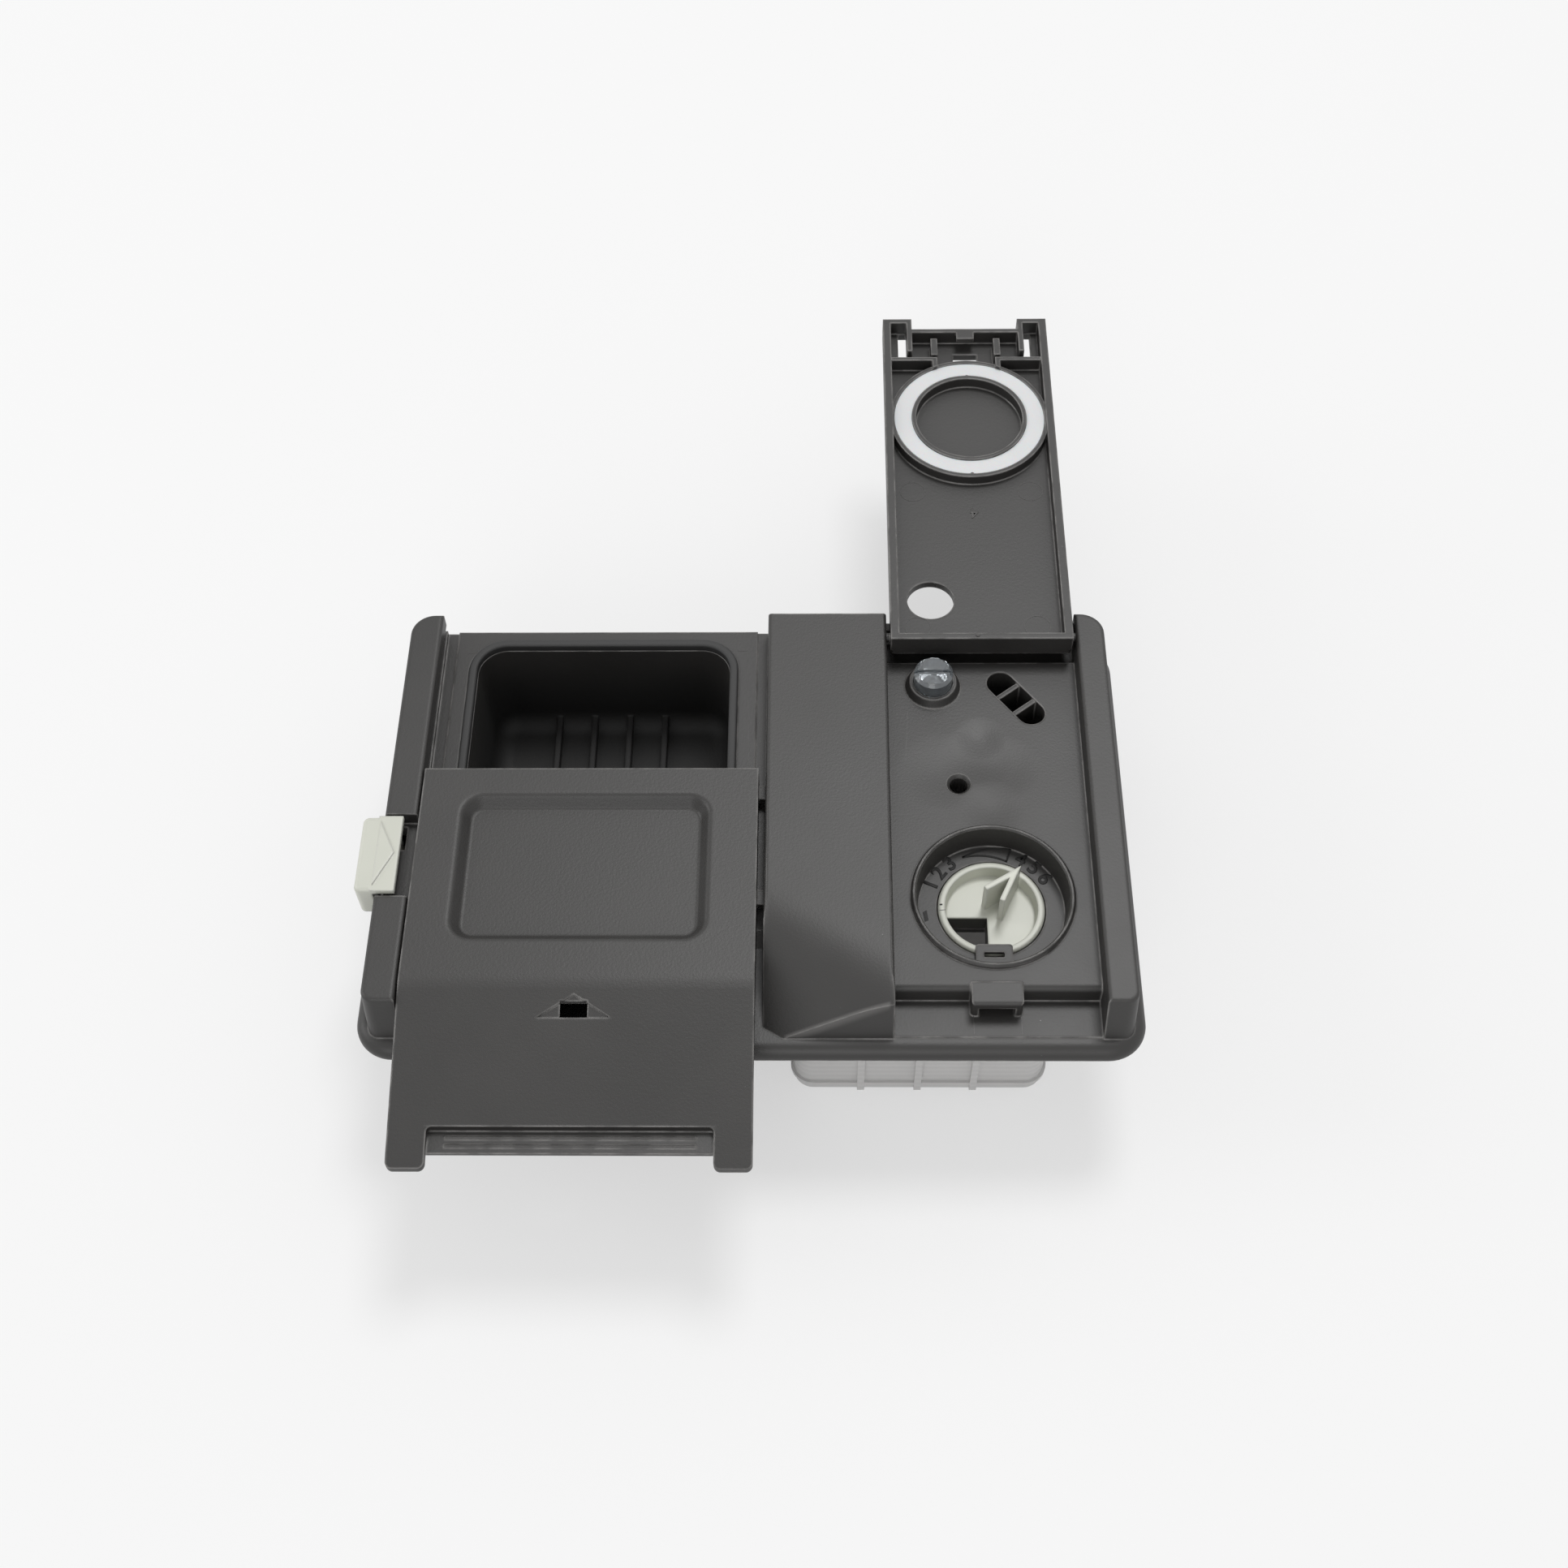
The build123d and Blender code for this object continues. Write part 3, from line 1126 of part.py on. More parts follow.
def button_spring():
    """The spring that pushes the button out, between the rail's inner wall and the button's leg."""
    x0 = BUTTON_LEG_X + BUTTON_LEG_T + SPRING_SEAT_GAP
    x1 = RAIL_IN_X - 1.7 - SPRING_SEAT_GAP
    spring = coil_spring(x1 - x0, 1.2, 2.5, WIRE_R * 0.7)
    return Pos(x0, LATCH_Y, BUTTON_FOOT_Z + BUTTON_FOOT_H + 1.9) * Rot(0, 90, 0) * spring


def latch_lever():
    """The bell crank: pushed by the button or pulled by the plunger, it draws its tooth down."""
    y0, y1 = LATCH_Y - LATCH_T / 2, LATCH_Y + LATCH_T / 2
    w = LATCH_ARM_W
    push_z = BUTTON_FOOT_Z + BUTTON_FOOT_H
    up = [
        (LATCH_PUSH_X, push_z), (LATCH_PUSH_X + w, push_z), (PIVOT_X, PIVOT_Z + w), (PIVOT_X - w, PIVOT_Z - w)
    ]
    x0, x1 = WINDOW_X - TOOTH_W / 2, WINDOW_X + TOOTH_W / 2
    arm_z = PIVOT_Z + w
    reach = [
        (PIVOT_X, PIVOT_Z - w / 2), (x1, arm_z), (x1, TOOTH_TOP_Z - 2), (x0 + 1, TOOTH_TOP_Z),
        (x0, TOOTH_TOP_Z), (x0, arm_z + w), (PIVOT_X, arm_z),
    ]
    fork_top = COIL_Z + FORK_RISE
    down = [(PIVOT_X - 1, PIVOT_Z), (PIVOT_X + w, PIVOT_Z), (FORK_X + FORK_T, fork_top), (FORK_X, fork_top)]
    fork = raised(plan(FORK_X, FORK_X + FORK_T, COIL_Y - FORK_HALF_W, y1), FORK_BOTTOM_Z, fork_top + 0.5)
    half = NECK_ROD_R + FIT
    slot = plan(FORK_X - 1, FORK_X + FORK_T + 1, COIL_Y - half, COIL_Y + half)
    fork -= raised(slot, FORK_BOTTOM_Z - 1, COIL_Z + FORK_SLOT_RISE)
    body = pin(PIVOT_X, PIVOT_Z, y0, y1, LATCH_HUB_R) + fork
    for outline in (up, reach, down):
        body += along(outline, y0, y1)
    return body - pin(PIVOT_X, PIVOT_Z, y0, y1, PIVOT_R + PIN_CLEAR)


def latch_pin():
    half = LATCH_T / 2 + EAR_GAP + EAR_T
    return pin(PIVOT_X, PIVOT_Z, LATCH_Y - half, LATCH_Y + half, PIVOT_R)


def actuator_coil():
    """The wound coil between its two flanges, with its terminal block."""
    x0, x1 = COIL_X, COIL_X + COIL_L
    body = rod(x0, x1, COIL_Y, COIL_Z, COIL_R)
    for x in (x0 - COIL_FLANGE_T, x1):
        body += rod(x, x + COIL_FLANGE_T, COIL_Y, COIL_Z, COIL_FLANGE_R)
    block_x = x0 + (COIL_L - TERMINAL_BLOCK_W) / 2
    block = plan(block_x, block_x + TERMINAL_BLOCK_W, CASE_Y + CASE_T + FIT, COIL_Y)
    body += raised(block, COIL_Z - TERMINAL_BLOCK_H / 2, COIL_Z + TERMINAL_BLOCK_H / 2)
    return body - rod(x0 - 5, x1 + 5, COIL_Y, COIL_Z, PLUNGER_R + PLUNGER_BORE_GAP)


def terminal_tabs():
    """Two flat tabs that stand out of the terminal block through the rear cover's window."""
    mid = COIL_X + COIL_L / 2
    tabs = []
    for side in (-1, 1):
        x = mid + side * TERMINAL_BLOCK_W / 4
        outline = plan(x - TAB_TERMINAL_W / 2, x + TAB_TERMINAL_W / 2, CASE_Y - 6, CASE_Y + CASE_T + FIT, 0.9)
        outline -= Pos(x, CASE_Y - 3.4) * Circle(0.8)
        tabs.append(raised(outline, COIL_Z - TAB_TERMINAL_T / 2, COIL_Z + TAB_TERMINAL_T / 2))
    return Compound(children=tabs)


def actuator_frame():
    """The folded steel bracket that holds the coil between its two cheeks."""
    x0 = COIL_X - COIL_FLANGE_T - FRAME_T
    x1 = COIL_X + COIL_L + COIL_FLANGE_T
    bottom = COIL_Z - COIL_FLANGE_R - FRAME_T
    top = COIL_Z + COIL_FLANGE_R * 0.6
    y0, y1 = COIL_Y - FRAME_W / 2, COIL_Y + FRAME_W / 2
    body = raised(plan(x0, x1 + FRAME_T, y0, y1), bottom, bottom + FRAME_T)
    for x in (x0, x1):
        body += raised(plan(x, x + FRAME_T, y0, y1), bottom, top)
    return body - rod(x0 - 1, x1 + 3, COIL_Y, COIL_Z, PLUNGER_R + PLUNGER_BORE_GAP)


def spring_collar_x():
    return CASE_X1 - CASE_T - SPRING_COLLAR_T - 1.0


def actuator_plunger():
    """The plunger through the coil, with the neck that the latch's fork holds."""
    neck_x0 = FORK_X - FORK_PLAY
    neck_x1 = FORK_X + FORK_T + FORK_PLAY
    body = rod(neck_x0 - PLUNGER_HEAD_T, neck_x0, COIL_Y, COIL_Z, PLUNGER_HEAD_R)
    body += rod(neck_x0 - 0.5, neck_x1 + 0.5, COIL_Y, COIL_Z, NECK_ROD_R)
    return body + rod(neck_x1, COIL_X + COIL_L + COIL_FLANGE_T + 1, COIL_Y, COIL_Z, PLUNGER_R)


def dosing_piston():
    """The rod and piston behind the plunger that let rinse aid out of the tank."""
    x0 = COIL_X + COIL_L + COIL_FLANGE_T + 1
    collar = spring_collar_x()
    x1 = TANK_X - 2.7
    body = rod(x0, x1 - PISTON_T + 0.5, COIL_Y, COIL_Z, PISTON_ROD_R)
    body += rod(collar, collar + SPRING_COLLAR_T, COIL_Y, COIL_Z, SPRING_COLLAR_R)
    return body + rod(x1 - PISTON_T, x1, COIL_Y, COIL_Z, PISTON_R)


def piston_spring():
    x0 = COIL_X + COIL_L + COIL_FLANGE_T + FRAME_T + SPRING_SEAT_GAP
    x1 = spring_collar_x() - SPRING_SEAT_GAP
    return Pos(x0, COIL_Y, COIL_Z) * Rot(0, 90, 0) * coil_spring(x1 - x0, PLUNGER_R + 0.6, 4, WIRE_R)


def valve_body():
    """The valve between the mechanism and the tank, with the spout of the rinse aid."""
    x0 = CASE_X1 + FIT
    body = rod(x0, TANK_X, COIL_Y, COIL_Z, VALVE_R)
    body += post((x0 + TANK_X) / 2, COIL_Y, COIL_Z - VALVE_R - 4, COIL_Z, 2.4)
    body -= post((x0 + TANK_X) / 2, COIL_Y, COIL_Z - VALVE_R - 5, COIL_Z, 1.3)
    body -= rod(x0 + 2, TANK_X - 2, COIL_Y, COIL_Z, PISTON_R + PISTON_GAP)
    return body - rod(x0 - 1, TANK_X + 1, COIL_Y, COIL_Z, PISTON_ROD_R + PISTON_GAP)


def screw_ear(x, y, way, z0, z1):
    """An ear round a screw hole, its root running along x, by the sign of way, into what carries it."""
    half = CASE_EAR_REACH / 2
    side = sorted((x - way * half, x + way * (half + 1)))
    ear = raised(plan(*side, y - CASE_EAR_W / 2, y + CASE_EAR_W / 2), z0, z1)
    return ear - post(x, y, z0 - 1, z1, SCREW_R + 0.1)


def mechanism_cover():
    """The rear tub over the mechanism, with four screw ears and a window for the terminals."""
    body = raised(plan(CASE_X, CASE_X1, CASE_Y, CASE_Y1, CASE_CORNER_R), REST_Z, CASE_TOP_Z)
    body = fillet(body.faces().sort_by(Axis.Z)[0].edges(), 1.5)
    for x, y in case_screw_places():
        body += screw_ear(x, y, 1 if x < CASE_X else -1, CASE_TOP_Z - CASE_EAR_T, CASE_TOP_Z)
    t = CASE_T
    body -= raised(plan(CASE_X + t, CASE_X1 - t, CASE_Y + t, CASE_Y1 - t, CASE_CORNER_R - t), REST_Z + t, 0)
    for x in (COIL_X - COIL_FLANGE_T - FRAME_T, COIL_X + COIL_L + COIL_FLANGE_T + FRAME_T - FRAME_PAD_L):
        pad = plan(x, x + FRAME_PAD_L, COIL_Y - FRAME_W / 2, COIL_Y + FRAME_W / 2)
        body += raised(pad, REST_Z + t - 0.5, COIL_Z - COIL_FLANGE_R - FRAME_T)
    body -= rod(CASE_X1 - t - 1, CASE_X1 + 1, COIL_Y, COIL_Z, PISTON_ROD_R + FIT)
    window = Box(TERMINAL_BLOCK_W, 2 * t + 1, TERMINAL_BLOCK_H)
    return body - Pos(COIL_X + COIL_L / 2, CASE_Y, COIL_Z) * window


def tank_outline(grow=0.0):
    """The tank in plan: a wide body with a narrower end under the level indicator."""
    g = grow
    wide = TANK_X1 + TANK_STEP_W
    step_y = TANK_Y + TANK_STEP_L
    neck_x, neck_y = TANK_X + TANK_NECK_W, TANK_Y + TANK_L
    corners = [
        (TANK_X, TANK_Y), (TANK_X1, TANK_Y), (TANK_X1, step_y), (wide, step_y + TANK_STEP_W),
        (wide, neck_y), (neck_x, neck_y), (neck_x, neck_y + TANK_NECK_L), (TANK_X, neck_y + TANK_NECK_L),
    ]
    face = make_face(Polyline(*corners, close=True))
    face = fillet(face.vertices(), TANK_CORNER_R)
    return offset(face, g) if g else face


def rinse_tank():
    """The translucent tank, with a rim at its top, ribs on its front and pads to stand on."""
    body = raised(tank_outline(), TANK_BOTTOM_Z, TANK_TOP_Z)
    body = fillet(body.faces().sort_by(Axis.Z)[0].edges(), TANK_FOOT_R)
    body += raised(tank_outline(TANK_RIM_W), TANK_TOP_Z - TANK_RIM_H, TANK_TOP_Z)
    body += raised(tank_outline(TANK_RIM_W / 2), TANK_BOTTOM_Z + 4, TANK_BOTTOM_Z + 5.4)
    for x in TANK_RIB_X:
        x0 = TANK_X + x - TANK_RIB_W / 2
        rib = plan(x0, x0 + TANK_RIB_W, TANK_Y - TANK_RIB_PROUD, TANK_Y + 1)
        body += raised(rib, TANK_BOTTOM_Z + TANK_FOOT_R, TANK_TOP_Z)
    for x, y in tank_foot_places():
        body += post(x, y, REST_Z, TANK_BOTTOM_Z + 1, FOOT_PAD_R)
    for x, y in tank_screw_places():
        body -= post(x, y, TANK_TOP_Z - TANK_RIM_H - 1, TANK_TOP_Z, SCREW_HEAD_R + FIT)
    body -= raised(tank_outline(-TANK_T), TANK_BOTTOM_Z + TANK_T, TANK_TOP_Z + 1)
    return body - rod(TANK_X - 1, TANK_X + TANK_T + 1, COIL_Y, COIL_Z, PISTON_ROD_R + PISTON_GAP)


def tank_foot_places():
    inset = FOOT_PAD_R + 2.5
    left, right = TANK_X + inset, TANK_X1 - inset
    front, back = TANK_Y + inset, TANK_Y + TANK_L + TANK_NECK_L - inset
    places = [(left, front), (right, front), (right, TANK_Y + TANK_L - inset)]
    return places + [(left, back), (TANK_X + TANK_NECK_W - inset, back)]


def tank_top():
    """The plate welded on the tank, with its screw ears and the holes of neck, indicator and breather."""
    body = raised(tank_outline(TANK_RIM_W), TANK_TOP_Z, TANK_LID_TOP)
    for x, y in tank_screw_places():
        body += screw_ear(x, y, 1 if x < TANK_X else -1, TANK_TOP_Z, TANK_LID_TOP)
    body -= post(WELL_X, WELL_Y, TANK_TOP_Z - 1, TANK_LID_TOP, NECK_R + FIT)
    body -= post(LENS_X, LENS_Y, TANK_TOP_Z - 1, TANK_LID_TOP, LENS_R + FIT / 2)
    return body - post(BREATHER_X, BREATHER_Y, TANK_TOP_Z - 1, TANK_LID_TOP, BREATHER_R)


def screw(x, y, seat_z, bite):
    """A pan-head screw driven upwards, its head under seat_z."""
    head = post(x, y, seat_z - SCREW_HEAD_H, seat_z, SCREW_HEAD_R)
    head = fillet(head.faces().sort_by(Axis.Z)[0].edges(), 0.8)
    return head + post(x, y, seat_z - 0.5, seat_z + bite, PILOT_R - 0.02)


def screws(places, seat_z, plate_t):
    group = []
    for x, y in places:
        reach = min(SCREW_BITE, ceiling_z(x, y) - WALL - 0.4 - seat_z - plate_t)
        group.append(screw(x, y, seat_z, plate_t + reach))
    return Compound(children=group)


def cover_spring():
    """The spring in the column that draws the cover open, from the column's rib to the cover's long lug."""
    y0 = SPRING_RIB_Y + RIB_T + SPRING_SEAT_GAP
    y1 = spring_arm_y() - SPRING_SEAT_GAP
    x = COLUMN_X + COLUMN_LEFT_WALL + COVER_ARM_REACH - COVER_SPRING_R
    spring = coil_spring(y1 - y0, COVER_SPRING_R - WIRE_R, 14, WIRE_R)
    return Pos(x, y1, GUIDE_Z + GUIDE_H / 2) * Rot(90, 0, 0) * spring


PIECES = {
    "panel_housing": panel_housing,
    "cup_seal": cup_seal,
    "door_gasket": door_gasket,
    "sliding_cover": sliding_cover,
    "cover_spring": cover_spring,
    "rinse_lid": rinse_lid,
    "lid_seal": lid_seal,
    "dosage_dial": dosage_dial,
    "dial_ring": dial_ring,
    "neck_seal": neck_seal,
    "indicator_lens": indicator_lens,
    "release_button": release_button,
    "button_spring": button_spring,
    "latch_lever": latch_lever,
    "latch_pin": latch_pin,
    "actuator_coil": actuator_coil,
    "terminal_tabs": terminal_tabs,
    "actuator_frame": actuator_frame,
    "actuator_plunger": actuator_plunger,
    "dosing_piston": dosing_piston,
    "piston_spring": piston_spring,
    "valve_body": valve_body,
    "mechanism_cover": mechanism_cover,
    "case_screws": lambda: screws(case_screw_places(), CASE_TOP_Z - CASE_EAR_T, CASE_EAR_T),
    "rinse_tank": rinse_tank,
    "tank_top": tank_top,
    "tank_screws": lambda: screws(tank_screw_places(), TANK_TOP_Z, TANK_LID_T),
}

to_origin = Pos(-PANEL_W / 2, -PANEL_D / 2, 0)
for name, make in PIECES.items():
    export_step(to_origin * make(), f"parts/{name}.step")
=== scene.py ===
# %% [markdown]
# This file dresses a dishwasher's detergent dispenser. The solid parts come from the packed
# frame, already in place and to size, and nothing here moves them. Blender adds what a solid
# model can't show well: the finish of each plastic, small moulded marks, lamps and a camera.

# %% Load the frame
import json
import math
import bmesh
import bpy
from mathutils import Matrix, Vector


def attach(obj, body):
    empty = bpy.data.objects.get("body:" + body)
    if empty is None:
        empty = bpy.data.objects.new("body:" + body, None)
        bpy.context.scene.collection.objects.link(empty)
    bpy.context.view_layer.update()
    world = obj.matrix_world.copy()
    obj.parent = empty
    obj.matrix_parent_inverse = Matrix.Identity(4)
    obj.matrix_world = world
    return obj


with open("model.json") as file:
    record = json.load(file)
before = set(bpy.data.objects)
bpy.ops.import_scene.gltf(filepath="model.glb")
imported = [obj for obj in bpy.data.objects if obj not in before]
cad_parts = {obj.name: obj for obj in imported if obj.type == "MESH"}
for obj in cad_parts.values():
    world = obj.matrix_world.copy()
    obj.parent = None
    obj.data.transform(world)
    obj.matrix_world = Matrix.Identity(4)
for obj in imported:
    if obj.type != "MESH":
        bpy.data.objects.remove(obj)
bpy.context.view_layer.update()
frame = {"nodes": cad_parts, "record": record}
print("nodes:", len(frame["nodes"]))

# %% [markdown]
# The solids were drawn in millimetres from the panel's front left corner. One helper turns
# such a place into the frame's metres, so that the marks below can be given as a moulder
# would read them off the drawing.

# %% Places on the panel
MM = 0.001
PANEL_W = 188.0
PANEL_D = 122.0
FLOOR_Z = -38.5


def place(x, y, z):
    return Vector((x - PANEL_W / 2, y - PANEL_D / 2, z)) * MM


print("panel corner at", tuple(round(v, 4) for v in place(0, 0, 0)))

# %% [markdown]
# Shader maths reads best as plain formulas. A small class wraps one socket, so that an
# expression such as 1 - mask adds its own Math node, and every other kind of node comes from
# one method. The alternative is a page of node and link calls for each finish.

# %% A socket that can be calculated with


class Value:
    """An output socket in a material's tree."""

    def __init__(self, tree, socket=None):
        self.tree = tree
        self.socket = socket

    def node(self, kind, settings=None, inputs=None, output=0):
        """Adds a node: its settings first, then the values or links of its sockets."""
        new = self.tree.nodes.new(kind)
        for name, setting in (settings or {}).items():
            setattr(new, name, setting)
        for name, given in (inputs or {}).items():
            if isinstance(given, Value):
                self.tree.links.new(given.socket, new.inputs[name])
            else:
                new.inputs[name].default_value = given
        return Value(self.tree, new.outputs[output] if new.outputs else None)

    def parts(self):
        """A vector's X, Y and Z."""
        split = self.node("ShaderNodeSeparateXYZ", {}, {0: self}).socket.node
        return tuple(Value(self.tree, split.outputs[axis]) for axis in "XYZ")

    def vector(self, operation, other=(0.0, 0.0, 0.0), output="Vector"):
        """Vector maths on this value and another."""
        given = {0: self, 1: other}
        return self.node("ShaderNodeVectorMath", {"operation": operation}, given, output)

    def maths(self, operation, first, second=0.0):
        return self.node("ShaderNodeMath", {"operation": operation}, {0: first, 1: second})

    def __add__(self, other):
        return self.maths("ADD", self, other)

    def __radd__(self, other):
        return self.maths("ADD", other, self)

    def __sub__(self, other):
        return self.maths("SUBTRACT", self, other)

    def __rsub__(self, other):
        return self.maths("SUBTRACT", other, self)

    def __mul__(self, other):
        return self.maths("MULTIPLY", self, other)

    def __rmul__(self, other):
        return self.maths("MULTIPLY", other, self)

    def smooth(self, low, high):
        """0 below low, 1 above high, with a soft step between."""
        settings = {"interpolation_type": "SMOOTHSTEP"}
        return self.node("ShaderNodeMapRange", settings, {0: self, 1: low, 2: high, 3: 0.0, 4: 1.0})


print("a value wraps one socket of a tree")

# %% [markdown]
# Most finishes start in the same way: an empty tree, a place on the object, cloudy noise and a
# mix of two colours. A short function for each of these keeps a finish to a few lines.

# %% Short helpers for finishes


def new_tree(name):
    """An empty material, and a value to start its nodes from."""
    material = bpy.data.materials.new(name)
    material.use_nodes = True
    material.node_tree.nodes.clear()
    return material, Value(material.node_tree)


def object_place(start):
    return start.node("ShaderNodeTexCoord", output="Object")


def true_normal(start):
    return start.node("ShaderNodeNewGeometry", output="True Normal")


def noise(at, scale, detail=2.0, roughness=0.5):
    """Cloudy noise, with scale in bumps per metre."""
    inputs = {"Vector": at, "Scale": scale, "Detail": detail, "Roughness": roughness}
    return at.node("ShaderNodeTexNoise", {}, inputs)


def mix(mask, low, high):
    """The low colour where the mask is 0 and the high one where it is 1."""
    return mask.node("ShaderNodeMix", {"data_type": "RGBA"}, {0: mask, 6: low, 7: high}, output=2)


def mix_vectors(mask, low, high):
    given = {0: mask, 4: low, 5: high}
    return mask.node("ShaderNodeMix", {"data_type": "VECTOR"}, given, output=1)


def grey(level, warm=0.0):
    return (level * (1 + warm), level, level * (1 - warm), 1.0)


def wire_up(start, shader):
    start.node("ShaderNodeOutputMaterial", {}, {"Surface": shader})


def principled(start, inputs):
    """A principled shader, wired to the material's output."""
    wire_up(start, start.node("ShaderNodeBsdfPrincipled", {}, inputs))


print("a middle grey is", grey(0.2))

# %% [markdown]
# A moulded edge is never sharp. The solids' edges get a rounded look from a Bevel node, which turns the
# shading normal near an edge. How far it leans from the true normal also says where an edge is, so that
# the same node places the paler edges: partly polish from handling, partly a painted highlight.

# %% Soft edges
EDGE_SOFT = 0.85 * MM
LEAN_FROM, LEAN_TO = 0.008, 0.16


def edge_mask(start):
    """The rounded normal, and a mask that is 1 on edges and 0 on flats."""
    soft = start.node("ShaderNodeBevel", {"samples": 6}, {"Radius": EDGE_SOFT})
    lean = soft.vector("DOT_PRODUCT", true_normal(start), "Value")
    return soft, (1 - lean).smooth(LEAN_FROM, LEAN_TO)


print("edges are softened over", EDGE_SOFT / MM, "mm")

# %% [markdown]
# Thick plastic shrinks as it cools and leaves shallow sinks on the platform, over the ribs
# and bosses behind it. Each one is a soft dip round a place, and together they become the
# height of a bump.

# %% Sinks in the platform
PLATFORM_Z = 9.4
SINKS = (
    ((151.6, 86.0), 7.0),
    ((150.0, 80.0), 10.0),
    ((141.5, 76.0), 12.0),
    ((157.0, 77.0), 10.0),
    ((153.5, 64.5), 9.0),
)
SINK_DEPTH = 0.7 * MM


def sink_marks(at):
    """How deep the platform has sunk at a place, over each sink's own radius."""
    depth = 0.0
    for spot, radius in SINKS:
        far = at.vector("DISTANCE", place(*spot, PLATFORM_Z), "Value")
        depth = depth + (1 - far.smooth(0.0, radius * MM))
    return depth


def sunk(start, at, soft):
    inputs = {"Strength": 0.5, "Distance": SINK_DEPTH, "Height": 0 - sink_marks(at), "Normal": soft}
    return start.node("ShaderNodeBump", {}, inputs)


print("sinks:", len(SINKS))

# %% [markdown]
# The column's top rolls down into a slope at its front left corner. On the real panel the bend is too
# soft to see, so its shading normal turns evenly from the top's to the slope's, over a longer way than
# the solid's bend. At the slope's foot a rounded crease catches the light, and a painted highlight
# lightens the colour along it. It lies where the slope's height and the front wall's height are the
# same.

# %% The column's bend and the crease's painted highlight
COLUMN_X, COLUMN_END_X = 97.2, 128.1
SLOPE_CORNER_Y = 27.0
SLOPE_DOWN = (-0.532, -0.847)
SLOPE_DEG = 36.7
SLOPE_FROM, SLOPE_TO = -15.0, 12.0
FRONT_FOOT_Y, FRONT_TOP_Y = 3.0, 7.6
TOP_Z = 16.2
FLANGE_T = 3.5
CREASE_FROM, CREASE_TO = 0.3, 2.6
CREASE_HIGHLIGHT_SHARE = 0.22


def column_masks(start, at):
    """How far the top has turned into the slope, where that holds, and how near the crease is, for its
    painted highlight.
    """
    across, along, high = at.parts()
    facing = true_normal(start).parts()[2]
    left, right = place(COLUMN_X, 0, 0).x, place(COLUMN_END_X, 0, 0).x
    inside = across.smooth(left + 0.4 * MM, left + 1.6 * MM)
    inside = inside * (1 - across.smooth(right - 1.6 * MM, right - 0.7 * MM))
    inside = inside * high.smooth((FLANGE_T + 0.2) * MM, (FLANGE_T + 0.8) * MM)
    corner = place(COLUMN_X, SLOPE_CORNER_Y, 0)
    down = (across - corner.x) * SLOPE_DOWN[0] + (along - corner.y) * SLOPE_DOWN[1]
    turned = down.smooth(SLOPE_FROM * MM, SLOPE_TO * MM)
    slope_z = TOP_Z * MM - down * math.tan(math.radians(SLOPE_DEG))
    front_z = (along - place(0, FRONT_FOOT_Y, 0).y) * (TOP_Z / (FRONT_TOP_Y - FRONT_FOOT_Y))
    apart = at.maths("ABSOLUTE", slope_z - front_z)
    crease = 1 - apart.smooth(CREASE_FROM * MM, CREASE_TO * MM)
    return turned, inside * facing.smooth(0.7, 0.75), inside * crease


def column_bend(soft, turned, on_top):
    """The softened normal, but turning evenly from top to slope on the column."""
    slope = math.radians(SLOPE_DEG)
    sideways = [part * math.sin(slope) for part in SLOPE_DOWN]
    sweep = mix_vectors(turned, (0, 0, 1), (*sideways, math.cos(slope)))
    return mix_vectors(on_top, soft, sweep.vector("NORMALIZE"))


print("column from", COLUMN_X, "to", COLUMN_END_X)

# %% [markdown]
# Down in the detergent cup the walls are dull, and little light gets there. Their shade is painted: a
# mask over the cup's own box darkens them with depth towards near black and makes them rougher, so that
# the rim keeps the deck's tone.

# %% The cup's painted shade
CUP_FROM, CUP_TO = (20.0, 67.5), (87.7, 116.6)
CUP_DARK_Z, CUP_RIM_Z = -12.0, 4.0
CUP_SHADE_BLACK = grey(0.006, 0.04)
CUP_ROUGHER = 0.25


def cup_shade_depth(at):
    """How much painted shade the cup gets: 0 at the detergent cup's rim and outside it, rising to 1 down
    in the cup.
    """
    across, along, high = at.parts()
    low, far = place(*CUP_FROM, 0), place(*CUP_TO, 0)
    inside = at.maths("GREATER_THAN", across, low.x) * at.maths("LESS_THAN", across, far.x)
    inside = inside * at.maths("GREATER_THAN", along, low.y) * at.maths("LESS_THAN", along, far.y)
    return inside * (1 - high.smooth(CUP_DARK_Z * MM, CUP_RIM_Z * MM))


print("cup darkens from", CUP_RIM_Z, "to", CUP_DARK_Z)

# %% [markdown]
# Nearly all of the part is glass-filled polypropylene from a spark-eroded mould. It has a fine even
# grain, paler edges that are partly wear and partly a painted highlight, a cloudy tone where the wall's
# thickness changes and a few specks of dust. One function makes every plastic from its colour, its
# edges' colour and its roughness, and the panel adds its bend, its crease with a painted highlight, its
# sinks and the cup's painted shade.

# %% Moulded plastic
GRAIN_DEPTH = 0.12 * MM
DUST_GREY = grey(0.4)


def tinted(colour, share):
    return tuple(part * (1 + share) for part in colour[:3]) + (1.0,)


def dust_specks(at, share):
    return noise(at, 1100, 1, 0.4).smooth(0.81, 0.84) * noise(at, 40, 2).smooth(0.5, 0.7) * share


